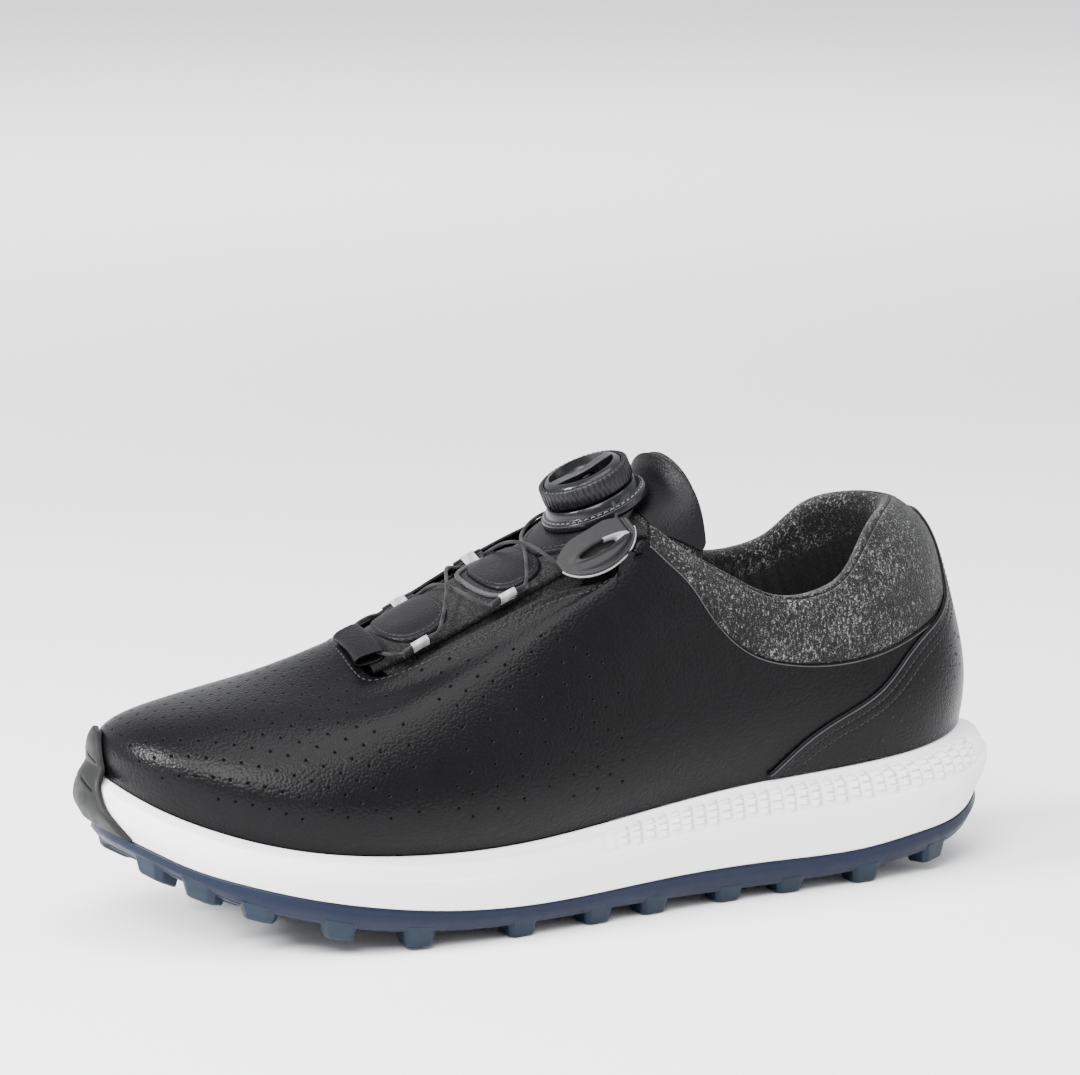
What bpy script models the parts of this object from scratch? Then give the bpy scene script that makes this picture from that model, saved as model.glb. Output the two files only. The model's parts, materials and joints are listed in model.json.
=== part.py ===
"""Left golf shoe with a dial lacing system, built from its separate pieces.

Frame: +X towards the heel, -Y the outer (lateral) side, +Z up, standing on Z = 0.
All driving dimensions are in millimetres and turned into metres by MM.
"""
import math

import bmesh
import bpy
import numpy as np
from mathutils import Matrix, Vector

MM = 0.001
GAP = 0.3
# Moves the finished shoe so that the origin is under the middle of its box.
CENTRING = (-4.9, 1.52, 0)

# Rings round the shoe: twenty stations from the back of the heel, along the lateral side,
# past the toe and back along the medial side.
STATIONS = [i / 20 for i in range(20)]
FEATHER = [(144, 0, 43), (135, -19, 42), (114, -30, 39.3), (84, -32.5, 36.7), (48, -35.5, 34.7),
           (8, -41, 30.6), (-32, -46.5, 27.6), (-72, -46.5, 29), (-103, -37.5, 33.8), (-127, -19, 42),
           (-136.5, 5, 48), (-129, 26.5, 43.5), (-106, 39, 35.5), (-73, 44.5, 29.3), (-34, 42.5, 27.7),
           (6, 34, 31.2), (44, 29, 34.7), (84, 30, 36.7), (114, 28.5, 39.3), (135, 17.5, 42)]
GIRTH = [(144.5, 0, 62), (136, -21, 60), (115, -32.5, 57), (84, -35, 54), (49, -38.5, 52),
         (9, -44.5, 48), (-31, -50, 45), (-72, -50, 44.5), (-105, -39.5, 48.5), (-128.5, -19.5, 55),
         (-137, 5.5, 57.5), (-129, 28, 55.5), (-107, 41, 49), (-73, 48, 45), (-33, 45, 45),
         (7, 36.5, 49), (45, 31.5, 53), (84, 32.5, 55), (115, 30.5, 57.5), (136, 19.5, 60)]
SHOULDER = [(139.5, 0, 88), (130, -19, 86), (110.5, -29.5, 80), (80, -34, 73), (47, -36, 76),
            (12, -38, 82), (-26, -39, 75), (-66, -38, 66), (-97, -29, 64), (-117, -14, 66),
            (-124.5, 4, 66.5), (-117, 19, 66), (-97, 31, 65), (-66, 36, 66.5), (-26, 35.5, 76),
            (12, 33, 84), (46, 32, 78), (80, 31.5, 75), (110.5, 27.5, 82), (130, 18, 87)]
CREST = [(132, 0, 106), (124, -16.5, 104), (105.5, -28, 94), (78, -33.5, 83), (46, -34, 91),
         (18, -33, 100), (-18, -31, 88), (-56, -28, 73.5), (-79, -20, 71.5), (-90, -8, 72.5),
         (-93, 4, 72.8), (-89, 14, 72.8), (-78, 22, 73), (-56, 26, 77), (-19, 27, 93),
         (17, 30, 104), (46, 32, 93), (78, 32.5, 86), (105.5, 26.5, 97), (124, 15, 105)]
# The top edge: collar, quarter peaks and the throat, each point led by its place round the shoe.
TOP_EDGE = [(0, 123, 0, 114.5), (.05, 115.5, -14, 113.5), (.085, 105, -23.5, 107), (.115, 95, -28.5, 96),
            (.15, 80, -32.5, 89.8), (.18, 62, -32.8, 91.5), (.21, 43, -30.5, 103), (.23, 32, -28, 111.5),
            (.245, 25, -26, 116.5), (.26, 20, -27.5, 110), (.28, 12, -29.5, 101.5), (.30, -3, -28, 98.5),
            (.33, -25, -26, 90.5), (.36, -44, -23.5, 82.5), (.385, -57, -20.5, 76.3), (.42, -62.5, -14, 77),
            (.47, -63, -5, 80.7), (.53, -62.5, 5, 82.3), (.58, -60.5, 12, 81.8), (.615, -55, 17, 82.5),
            (.64, -44, 19, 86.8), (.67, -25, 20.5, 96), (.70, -3, 22.5, 105.5), (.72, 9, 24.5, 109.5),
            (.74, 17, 26, 113), (.755, 24, 27, 115.5), (.77, 32, 29, 111.5), (.79, 43, 31.5, 105),
            (.82, 62, 33.5, 94.5), (.85, 80, 33, 92.8), (.885, 95, 29, 98.5), (.915, 105, 24, 108.5),
            (.95, 115.5, 14, 114)]
RING_HEIGHTS = [0, .22, .5, .78, 1]

# Sole outlines (widest line of the sidewall, and its bottom edge) and the sole's side profile.
SIDEWALL = [(153, -2), (145, -23), (121, -35.5), (86, -38.5), (48, -41), (8, -46.5), (-32, -52),
            (-72, -52), (-106, -42.5), (-130.5, -22), (-141, 5), (-133.5, 30), (-110, 44.5), (-74, 49.5),
            (-34, 48), (6, 39), (44, 34), (84, 35.5), (120, 34), (144.5, 21)]
TREAD_EDGE = [(149, -2), (141.5, -21.5), (119, -33.5), (85, -37), (48, -39.5), (8, -45), (-32, -50.5),
              (-72, -50.5), (-104, -41), (-127.5, -21), (-138, 5), (-130.5, 28.5), (-108, 43), (-74, 48),
              (-34, 46.5), (6, 37.5), (44, 32.5), (83, 34), (118, 32.5), (141, 19.5)]
SOLE_JOINT = [(-139, 34), (-130, 29.7), (-123, 26.4), (-111, 22.6), (-95, 18.6), (-77, 15), (-55, 11.7),
              (-36, 10), (-14, 9.5), (26, 10.8), (66, 10.9), (96, 11.3), (117, 13.9), (139, 18.5), (149, 24)]
PLATE_BOTTOM = [(-139, 29), (-128, 24.2), (-120, 20.5), (-111, 16.4), (-92, 11), (-77, 7.8), (-62, 5.8),
                (-36, 4), (6, 4), (40, 3.6), (77, 3.4), (107, 5.4), (120, 7.2), (135, 10.5), (148, 17)]
GROUND_LINE = [(-137, 25), (-129.5, 21), (-122, 17.2), (-108, 11.8), (-83, 5), (-62, 1.2), (-44, 0),
               (30, 0), (97, 0), (112, 1.4), (130, 4.6), (142, 9)]

# Layers of the upper: depth of each layer's outer face, and its thickness.
LEATHER = (0, 1.5)
STIFFENER = (2.0, 1.1)
LINING = (3.6, 0.9)
EYESTAY = (1.9, 0.8)
OVERLAY = (-1.8, 1.2)
# Every layer has its vertices at the same places, so that flat facets stay one gap apart.
TURNS = 60
LEVELS = [0, .10, .24, .40, .55, .72, .88, 1]
FOOT = .004

# Seam between leather and knit collar: height share against distance round from the heel.
COLLAR_SEAM = [(0, .46), (.05, .44), (.08, .43), (.10, .42), (.125, .415), (.15, .44), (.17, .475),
               (.185, .515), (.195, .575), (.205, .68), (.215, .80), (.23, .88), (.245, .93), (.26, .98)]
OVERLAY_EDGE = [(0, .70), (.02, .66), (.04, .54), (.065, .46), (.088, .425), (.103, .375), (.123, .28),
                (.147, .205), (.167, .12), (.18, .03)]

# The toe bumper: its middle and, row by row from the bottom, its half-width, both as shares of a
# turn; the rows' heights as shares of the sidewall's height and then of the upper's.
BUMPER_MIDDLE = .515
BUMPER_HALF = [.047, .039, .033, .026, .0235, .022, .018, .009]
BUMPER_SOLE = [.06, .45, .62, .92]
BUMPER_TOP = [.07, .14, .22, .29]

# The tongue: eight cross rows from the throat to its top edge, five points in each.
TONGUE_ROWS = [
    [(-59, -17, 75.8), (-60.5, -9, 79.8), (-61, 0, 81), (-60, 8, 81.1), (-58, 14, 80)],
    [(-41, -20, 83), (-42, -11, 87.3), (-42, -1, 88.8), (-41.5, 9, 88.9), (-39.5, 16, 87)],
    [(-18, -20.5, 93.6), (-19, -12, 97), (-19, -1, 98.5), (-18.5, 10, 98.7), (-17, 17.5, 97)],
    [(4.5, -20, 103.6), (3, -11.5, 106.6), (2.5, -.5, 107.6), (3, 11, 107.5), (4.5, 18.5, 105.8)],
    [(21.5, -20, 112.2), (20.3, -11.5, 114.6), (20, 0, 115.1), (20.3, 11.5, 114.7), (21.5, 19.5, 112.4)],
    [(36, -20.5, 110), (34.5, -12.5, 117), (34, 0, 119.2), (34.5, 12, 117), (36, 20.5, 110)],
    [(43.5, -21, 107), (42, -13.5, 119.5), (39, 1, 125.5), (38, 14, 120.3), (41.5, 21.5, 107.3)],
    [(47, -20.5, 104.8), (46.5, -13.5, 124), (40.5, 1.5, 133.2), (40.5, 15.5, 125), (44, 21.5, 105.2)]]
TONGUE_LENGTHS = [0, .17, .38, .59, .745, .855, .93, 1]
TONGUE_WIDTHS = [-1, -.5, 0, .5, 1]
TONGUE = (0, 2)
TONGUE_ROOT = (.5, 1)
TONGUE_PADDING = (2.3, 2.6)
PATCH_THICKNESS = 1.0
PATCH_GAP = 0.7

# The dial: its seat on the tongue and the tilt of its axis.
DIAL_SEAT = (20.5, 0, 117.6)
DIAL_TILT = 23
KNOB_RADIUS = 14.4
KNOB_TEETH = 26
RECESS_TURN = -87
# Wings of the dial's seat: side, centre, direction down the side, half-length, depth, inner rim.
WINGS = {"top_guide_lateral": (-1, (8.6, -24, 110.3), (.35, -.62, -.71), 13.6, 9, 5),
         "top_guide_medial": (1, (17.5, 21.8, 117.9), (.24, .84, -.49), 7.5, 5.5, 1.4)}
WING_SLOPE = (.898, 0, .44)
WING_THICKNESS = 2.2

# Lace: one cable from the spool, down through the guides to the keeper and back up.
LACE_RADIUS = 0.5
LACE_ROUTE = [
    (19.1, -9.8, 120.9), (19.1, -15.6, 120.8), (17.6, -21.3, 120.4), (13.5, -25.9, 116.6), (12.8, -27.8, 113),
    (9.9, -26.7, 109.1), (6.1, -24.4, 105.8), (1.4, -22.8, 104.6), (-3.5, -13, 107.6), (-6, -3, 109.2),
    (-8, 10, 106.2),
    (-10.5, 17.4, 103.3), (-13.75, 17.25, 101.95), (-17, 17.1, 100.6),
    (-22.5, 13, 100.2), (-30.5, -3, 99), (-37.5, -16, 90.6),
    (-42.5, -20.3, 86), (-46.75, -20.15, 84.15), (-51, -20, 82.3),
    (-56, -16.2, 81.7), (-58.9, -10, 82.8), (-59.4, -3, 84.1), (-58, 4, 85.4), (-53, 11, 86.2), (-47, 14.6, 87),
    (-41.5, 15.4, 88.9), (-37.75, 15.6, 90.55), (-34, 15.8, 92.2),
    (-31, 8, 96), (-29.5, -3, 97.4), (-27, -16, 95.6),
    (-23.6, -22, 94.8), (-19.55, -22.5, 96.55), (-15.5, -23, 98.3),
    (-10.5, -17, 102.6), (-5.8, -5, 107), (-1, 8, 107.8), (4, 18, 108.4),
    (9.5, 22.8, 110.9), (13.4, 23.3, 112.6), (16.5, 23.4, 114), (17.5, 24.2, 117.3), (16.8, 24.8, 119.8),
    (16.3, 23.1, 121.5), (17.5, 19.6, 121.6), (19.1, 15.6, 120.8), (19.1, 9.8, 120.9)]
GUIDES = {"lace_guide_lateral_1": ((-46.75, -20.15, 84.15), (8.5, -.3, 3.7)),
          "lace_guide_lateral_2": ((-19.55, -22.5, 96.55), (8.1, -1, 3.5)),
          "lace_guide_medial_1": ((-37.75, 15.6, 90.55), (7.5, .4, 3.3)),
          "lace_guide_medial_2": ((-13.75, 17.25, 101.95), (6.5, .3, 2.7))}


def spline(knots, values, x, closed=False):
    """Cubic spline through the values at the knots; a closed one has period 1."""
    knots = np.asarray(knots, float)
    values = np.asarray(values, float)
    x = np.asarray(x, float)
    count = len(knots)
    system = np.zeros((count, count))
    right = np.zeros(values.shape)
    if closed:
        step = np.diff(np.append(knots, knots[0] + 1))
        x = (x - knots[0]) % 1 + knots[0]
        inner = range(count)
    else:
        step = np.diff(knots)
        inner = range(1, count - 1)
        for end, beside in ((0, 1), (count - 1, count - 2)):
            system[end, end], system[end, beside] = 2, 1
            right[end] = 3 * (values[beside] - values[end]) / (knots[beside] - knots[end])
    for i in inner:
        before, after, j = step[i - 1], step[i], (i + 1) % count
        system[i, i - 1] += after
        system[i, i] += 2 * (before + after)
        system[i, j] += before
        right[i] = 3 * (after * (values[i] - values[i - 1]) / before
                        + before * (values[j] - values[i]) / after)
    slope = np.linalg.solve(system, right.reshape(count, -1)).reshape(values.shape)
    i = np.clip(np.searchsorted(knots, x, side="right") - 1, 0, len(step) - 1)
    j = (i + 1) % count
    shape = x.shape + (1,) * (values.ndim - 1)
    h = step[i].reshape(shape)
    t = ((x - knots[i]) / step[i]).reshape(shape)
    return ((2 * t**3 - 3 * t**2 + 1) * values[i] + (t**3 - 2 * t**2 + t) * h * slope[i]
            + (3 * t**2 - 2 * t**3) * values[j] + (t**3 - t**2) * h * slope[j])


def unit(vectors):
    return vectors / np.linalg.norm(vectors, axis=-1, keepdims=True)


def around(ring, u):
    """Points of a closed ring of twenty stations."""
    return spline(STATIONS, ring, u, closed=True)


def profile(line, x):
    """Height of a side profile, a list of (x, z), at x."""
    x = np.clip(x, line[0][0], line[-1][0])
    return spline([p[0] for p in line], [p[1] for p in line], x)


def upper_point(u, v):
    """Point of the upper's outer face: u runs round the shoe, v from the sole to the top edge."""
    u, v = np.broadcast_arrays(np.asarray(u, float), np.asarray(v, float))
    rings = [around(ring, u) for ring in (FEATHER, GIRTH, SHOULDER, CREST)]
    top = np.array(TOP_EDGE)
    rings.append(spline(top[:, 0], top[:, 1:], u, closed=True))
    share = spline(RING_HEIGHTS, np.eye(5), v)
    return sum(share[..., k, None] * rings[k] for k in range(5))


def upper_normal(u, v):
    e = 0.002
    along = upper_point(u + e, v) - upper_point(u - e, v)
    up = upper_point(u, v + e) - upper_point(u, v - e)
    return unit(np.cross(up, along))


def skin(u, v, depth=0):
    """Point at a depth below the upper's outer face, measured square to it."""
    return upper_point(u, v) - np.asarray(depth)[..., None] * upper_normal(u, v)


def from_heel(u):
    """Distance round the shoe from the back of the heel, the same on both sides."""
    u = np.asarray(u, float) % 1
    return np.minimum(u, 1 - u)


def seam_height(u):
    """Height share of the leather's top edge."""
    a = from_heel(u)
    seam = spline([p[0] for p in COLLAR_SEAM], [p[1] for p in COLLAR_SEAM], np.clip(a, 0, .26))
    return np.where(a < .26, seam, 1.0)


def tongue_point(s, t):
    """Point of the tongue's outer face: s from the throat to the top, t across from the lateral edge."""
    s, t = np.broadcast_arrays(np.asarray(s, float), np.asarray(t, float))
    rows = np.array(TONGUE_ROWS, float)
    along = spline(TONGUE_LENGTHS, rows, s)
    across = spline(TONGUE_WIDTHS, np.eye(5), t)
    return np.einsum("...kd,...k->...d", along, across)


def tongue_skin(s, t, depth=0):
    e = 0.004
    along = tongue_point(s + e, t) - tongue_point(s - e, t)
    across = tongue_point(s, t + e) - tongue_point(s, t - e)
    return tongue_point(s, t) - np.asarray(depth)[..., None] * unit(np.cross(along, across))


def new_material(name, colour, roughness, metallic=0.0):
    material = bpy.data.materials.new(name)
    material.use_nodes = True
    shader = material.node_tree.nodes["Principled BSDF"]
    shader.inputs["Base Color"].default_value = (*colour, 1)
    shader.inputs["Roughness"].default_value = roughness
    shader.inputs["Metallic"].default_value = metallic
    material.diffuse_color = (*colour, 1)
    return material


def place(name, mesh, material, smooth=True):
    """Make an object of a mesh in metres, in the shoe's collection."""
    thing = bpy.data.objects.new(name, mesh)
    shoe.objects.link(thing)
    mesh.materials.append(material)
    if smooth:
        mesh.shade_smooth()
        mesh.set_sharp_from_angle(angle=math.radians(50))
    return thing


def solid(name, points, faces, material, recalculate=True):
    """A mesh object from points in millimetres."""
    mesh = bpy.data.meshes.new(name)
    mesh.from_pydata([tuple(float(c) * MM for c in p) for p in points], [], faces)
    if recalculate:
        work = bmesh.new()
        work.from_mesh(mesh)
        bmesh.ops.recalc_face_normals(work, faces=work.faces)
        work.to_mesh(mesh)
        work.free()
    return place(name, mesh, material)


def thicken(thing, thickness, offset=-1):
    """Give an open surface its thickness, inwards unless the offset is 1."""
    wall = thing.modifiers.new("thickness", "SOLIDIFY")
    wall.thickness = thickness * MM
    wall.offset = offset
    wall.use_even_offset = True
    return thing


def grid_faces(rows, columns, closed=False):
    """Quads of a grid whose rows run along the first direction."""
    faces = []
    for i in range(rows if closed else rows - 1):
        after = (i + 1) % rows
        for j in range(columns - 1):
            faces.append((i * columns + j, i * columns + j + 1, after * columns + j + 1, after * columns + j))
    return faces


def shell(name, turns, levels, top, layer, material, closed=False):
    """A layer of the upper at the given stations and levels, the last level lying at top(u)."""
    u = np.asarray(turns) / TURNS
    v = FOOT + (top(u) - FOOT)[:, None] * np.asarray(levels)
    grid = skin(u[:, None] + 0 * v, v, layer[0]).reshape(-1, 3)
    thing = solid(name, grid, grid_faces(len(u), len(levels), closed), material, recalculate=False)
    return thicken(thing, layer[1])


def offset_ring(ring, distance):
    """Move a ring's points outwards in plan, leaving their heights."""
    tangent = np.roll(ring, -1, axis=0) - np.roll(ring, 1, axis=0)
    outward = np.zeros_like(ring)
    outward[:, 0], outward[:, 1] = -tangent[:, 1], tangent[:, 0]
    return ring + distance * unit(outward)


def slab(name, rings, material, columns=6, top_dip=None):
    """A closed body through rings from top to bottom, with its two ends filled from side to side."""
    count = len(rings[0])
    points = [tuple(p) for ring in rings for p in ring]
    faces = []
    for k in range(len(rings) - 1):
        for i in range(count):
            j = (i + 1) % count
            faces.append((k * count + i, k * count + j, (k + 1) * count + j, (k + 1) * count + i))
    for first in (0, (len(rings) - 1) * count):
        rows = []
        for i in range(count // 2 + 1):
            left, right = first + i, first + (count - i) % count
            if left == right:
                rows.append([left])
                continue
            row = [left]
            a, b = np.array(points[left]), np.array(points[right])
            for k in range(1, columns):
                point = a + (b - a) * k / columns
                if first == 0 and top_dip:
                    point[2] -= top_dip(point, k / columns)
                row.append(len(points))
                points.append(tuple(point))
            rows.append(row + [right])
        for one, two in zip(rows, rows[1:]):
            if len(one) == 1 or len(two) == 1:
                tip, wide = (one[0], two) if len(one) == 1 else (two[0], one)
                faces += [(tip, wide[k], wide[k + 1]) for k in range(len(wide) - 1)]
            else:
                faces += [(one[k], one[k + 1], two[k + 1], two[k]) for k in range(columns)]
    return solid(name, points, faces, material)


def loft(name, sections, material):
    """A closed body through closed sections with the same number of points, and a cap at each end."""
    size = len(sections[0])
    points = [p for section in sections for p in section]
    faces = []
    for k in range(len(sections) - 1):
        for i in range(size):
            j = (i + 1) % size
            faces.append((k * size + i, k * size + j, (k + 1) * size + j, (k + 1) * size + i))
    faces.append(tuple(range(size)))
    faces.append(tuple(range((len(sections) - 1) * size, len(sections) * size)))
    return solid(name, points, faces, material)


def boolean(thing, other, operation):
    change = thing.modifiers.new(operation.lower(), "BOOLEAN")
    change.operation = operation
    change.object = other
    change.use_self = operation == "UNION"
    other.hide_render = True
    other.display_type = "WIRE"
    for collection in list(other.users_collection):
        collection.objects.unlink(other)
    cutters.objects.link(other)


def patch(name, centre, half, material, power=2.6, gap=PATCH_GAP, count=16, rings=2):
    """A leather patch with a rounded outline on the tongue, sewn to its face."""
    points = [tongue_skin(*centre, -gap)]
    for k in range(1, rings + 1):
        for i in range(count):
            angle = 2 * math.pi * i / count
            c, s = math.cos(angle), math.sin(angle)
            a = math.copysign(abs(c) ** (2 / power), c) * half[0] * k / rings
            b = math.copysign(abs(s) ** (2 / power), s) * half[1] * k / rings
            points.append(tongue_skin(centre[0] + a, centre[1] + b, -gap))
    faces = [(0, 1 + i, 1 + (i + 1) % count) for i in range(count)]
    for k in range(rings - 1):
        first, after = 1 + k * count, 1 + (k + 1) * count
        faces += [(first + i, after + i, after + (i + 1) % count, first + (i + 1) % count) for i in range(count)]
    thing = solid(name, points, faces, material, recalculate=False)
    return thicken(thing, PATCH_THICKNESS, offset=1)


def turned(name, outline, material, steps=24, closed=False):
    """A turned body on the dial's axis from an outline of (radius, height above the seat)."""
    mesh = bpy.data.meshes.new(name)
    points = [(r * MM, 0, h * MM) for r, h in outline]
    edges = [(i, i + 1) for i in range(len(points) - 1)]
    if closed:
        edges.append((len(points) - 1, 0))
    mesh.from_pydata(points, edges, [])
    thing = place(name, mesh, material, smooth=False)
    thing.matrix_world = dial_frame()
    screw = thing.modifiers.new("turn", "SCREW")
    screw.steps = steps
    screw.render_steps = steps
    screw.use_merge_vertices = True
    screw.merge_threshold = 0.00001
    screw.use_smooth_shade = False
    return thing


def dial_frame():
    seat = Vector(DIAL_SEAT) * MM
    return Matrix.Translation(seat) @ Matrix.Rotation(-math.radians(DIAL_TILT), 4, "Y")


def make_sole():
    u = np.arange(TURNS) / TURNS
    feather, wide, edge = around(FEATHER, u), around(SIDEWALL, u), around(TREAD_EDGE, u)
    joint = profile(SOLE_JOINT, edge[:, 0])
    bottom = profile(PLATE_BOTTOM, edge[:, 0])

    def level(outline, height):
        return np.column_stack([outline[:, :2], height])

    lip = offset_ring(feather, 0.8) - (0, 0, GAP)
    between = feather[:, :2] + 0.75 * (wide[:, :2] - feather[:, :2])
    rise = feather[:, 2] - joint
    sidewall = [lip, level(between, feather[:, 2] - 0.12 * rise), level(wide, joint + 0.6 * rise),
                level(wide, joint + 0.45 * rise), level(edge, joint + GAP)]

    def dip(point, share):
        """The bed under the lasting board, hollowed for the shank."""
        side = min(share, 1 - share) * 2
        middle = max(0, 1 - ((point[0] - 20) / 62) ** 2)
        return 0.3 + 2.2 * min(1, middle * 2) * min(1, side * 2.5)

    slab("midsole", sidewall, foam, top_dip=dip)

    plate = offset_ring(level(edge, bottom), -2.5)
    plate[:, 2] = profile(PLATE_BOTTOM, plate[:, 0])
    outsole = slab("outsole", [level(edge, joint), offset_ring(level(edge, (joint + bottom) / 2), .5), plate], rubber)
    boolean(outsole, make_lugs(), "UNION")

    points = []
    for x, half in ((-20, 9), (0, 12), (20, 13), (40, 12), (60, 9)):
        for side in (-1, 0, 1):
            points.append((x, side * half - 3, bed_height(x) - 0.7))
    faces = [(i * 3 + j, (i + 1) * 3 + j, (i + 1) * 3 + j + 1, i * 3 + j + 1) for i in range(4) for j in range(2)]
    thicken(solid("shank", points, faces, steel, recalculate=False), 1.2)


def bed_height(x):
    """Height of the feather line at x."""
    line = around(FEATHER, np.linspace(.5, 0, 101))
    return float(np.interp(x, line[:, 0], line[:, 2]))


def ground_height(x):
    """Height of the lugs' soles, level along the middle of the shoe."""
    return float(np.interp(x, [p[0] for p in GROUND_LINE], [p[1] for p in GROUND_LINE]))


def make_lugs():
    """The traction lugs: one row along each edge and two rows across the middle."""
    rim = offset_ring(around(TREAD_EDGE, np.arange(240) / 240), -5.9)
    count = len(rim)
    spots = []
    for side in (1, -1):
        for x in (-127, -117, -104, -83, -58, -26, 0, 22, 46, 70, 97, 122):
            half = range(1, count // 2) if side == 1 else range(count // 2 + 1, count)
            i = min(half, key=lambda k: abs(rim[k][0] - x))
            ahead = rim[(i + 1) % count] - rim[i - 1]
            spots.append((rim[i][0], rim[i][1], math.atan2(ahead[1], ahead[0]), 5.2))
    for x in (-104, -83, -58, -32, -8, 66, 88, 110):
        for y in (-15, 13):
            spots.append((x, y + (1 if x < 0 else 0), math.pi / 4, 4.2))
    work = bmesh.new()
    for x, y, turn, half in spots:
        low, high = ground_height(x), float(profile(PLATE_BOTTOM, x)) + 1.6
        slope = (ground_height(x + 4) - ground_height(x - 4)) / 8
        block = bmesh.ops.create_cube(work, size=1)["verts"]
        for vert in block:
            foot = 0.78 if vert.co.z < 0 else 1.0
            a, b = 2 * half * foot * vert.co.x, 2 * half * foot * vert.co.y
            dx, dy = a * math.cos(turn) - b * math.sin(turn), a * math.sin(turn) + b * math.cos(turn)
            z = max(0, (low if vert.co.z < 0 else high) + dx * slope)
            vert.co = Vector((x + dx, y + dy, z)) * MM
    mesh = bpy.data.meshes.new("lugs")
    work.to_mesh(mesh)
    work.free()
    return place("lugs", mesh, rubber, smooth=False)


def make_bed():
    """The lasting board and the insole on it, inside the upper."""
    u = np.arange(40) / 40
    feather = around(FEATHER, u)
    board = offset_ring(feather, -5.6)
    up = np.array([0, 0, 1.0])
    slab("lasting_board", [board + 1.6 * up, board + 0.3 * up], board_fibre)
    cushion = offset_ring(feather, -6.2)
    slab("insole", [offset_ring(cushion, -.6) + 6.4 * up, cushion + 5.4 * up, cushion + 2 * up], insole_foam,
         top_dip=lambda point, share: 1.6 * math.sin(math.pi * share))


def make_upper():
    shell("upper", range(TURNS), LEVELS, seam_height, LEATHER, leather, closed=True)

    def lining_top(u):
        return np.where(from_heel(u) < .24, seam_height(u) - .015, np.where(from_heel(u) < .31, .88, .92))

    shell("lining", range(TURNS), LEVELS[1::2], lining_top, LINING, lining_cloth, closed=True)
    shell("heel_counter", range(-8, 9), LEVELS[1:6], seam_height, STIFFENER, board_fibre)
    shell("toe_puff", range(25, 36), LEVELS[1:5], seam_height, STIFFENER, board_fibre)
    shell("eyestay_lateral", range(18, 23), LEVELS[5:7] + [.975], seam_height, EYESTAY, leather)
    shell("eyestay_medial", range(38, 43), LEVELS[5:7] + [.975], seam_height, EYESTAY, leather)

    def overlay_top(u):
        return spline([p[0] for p in OVERLAY_EDGE], [p[1] for p in OVERLAY_EDGE], np.clip(from_heel(u), 0, .18))

    shell("heel_overlay", range(-10, 11), np.linspace(.015, 1, 6), overlay_top, OVERLAY, leather)


def make_bumper():
    """The rubber cap over the front of the sole and the toe, narrowing towards its top."""
    centre = np.array([-60, 0])
    rows = []
    for k, half in enumerate(BUMPER_HALF):
        u = BUMPER_MIDDLE + half * np.linspace(-1, 1, 9)
        if k >= len(BUMPER_SOLE):
            rows.append(skin(u, BUMPER_TOP[k - len(BUMPER_SOLE)], -0.7))
            continue
        feather, wide, edge = around(FEATHER, u), around(SIDEWALL, u), around(TREAD_EDGE, u)
        joint = profile(SOLE_JOINT, edge[:, 0])
        outline = (edge, wide, wide, feather[:, :2] + .8 * (wide - feather[:, :2]))[k]
        height = joint + BUMPER_SOLE[k] * (feather[:, 2] - joint)
        rows.append(np.column_stack([outline + 0.55 * unit(wide - centre), height]))
    grid = np.stack(rows, axis=1).reshape(-1, 3)
    cap = solid("toe_bumper", grid, grid_faces(9, len(rows)), dark_rubber, recalculate=False)
    thicken(cap, 1.8, offset=1)


def make_collar():
    """The padded knit collar: its outer face, the roll over the top, and the face inside the shoe."""
    sections = []
    for u in [-.243] + [k / TURNS for k in range(-14, 15)] + [.243]:
        seam = float(seam_height(u))
        end = max(0, 1 - abs(u) / .243)
        roll = 1.2 + 2.4 * min(1, end * 5)
        low = seam + .012
        high = max(low + .012, .985)
        outer = [skin(u, low + (high - low) * k / 4) for k in range(5)]
        side = upper_normal(u, high)
        top = skin(u, high)
        up = unit(top - skin(u, high - .02))
        centre = top - roll * side
        arch = []
        for k in range(1, 5):
            angle = math.pi * k / 5
            arch.append(centre + roll * (math.cos(angle) * side + math.sin(angle) * up))
        inner = []
        for k in range(4):
            share = k / 3
            depth = 2 * roll * (1 - share) + min(4.4, 2 * roll) * share
            inner.append(skin(u, high - (high - low) * share, depth))
        sections.append(outer + arch + inner)
    loft("collar", sections, knit)


def half_width(s):
    """Share of the tongue's width that its firm part takes: narrow between the lace guides."""
    return .80 + .18 * np.clip((np.asarray(s) - .55) / .1, 0, 1)


def make_tongue():
    def strip(name, s, width, columns, layer, material):
        s = np.asarray(s)
        t = np.linspace(-1, 1, columns) * (half_width(s) * width)[:, None]
        grid = tongue_skin(s[:, None] + 0 * t, t, layer[0])
        faces = [face[::-1] for face in grid_faces(len(s), columns)]
        return thicken(solid(name, grid.reshape(-1, 3), faces, material, recalculate=False), layer[1])

    strip("tongue", [.1 + .068 * k for k in range(12)] + [.895, .93, .965, 1], 1, 9, TONGUE, mesh_cloth)
    strip("tongue_root", [.005, .03, .058, .086], 1, 9, TONGUE_ROOT, mesh_cloth)
    strip("tongue_padding", np.linspace(.13, .70, 9), .68, 6, TONGUE_PADDING, lining_cloth)
    patch("tongue_patch_lower", (.165, -.02), (.085, .66), leather)
    patch("tongue_patch_upper", (.46, -.02), (.08, .66), leather)
    patch("tongue_flap", (.925, 0), (.052, .80), leather, power=4, gap=1.4)
    make_gusset("gusset_lateral", -1, .383, .297)
    make_gusset("gusset_medial", 1, .625, .703)


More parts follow.
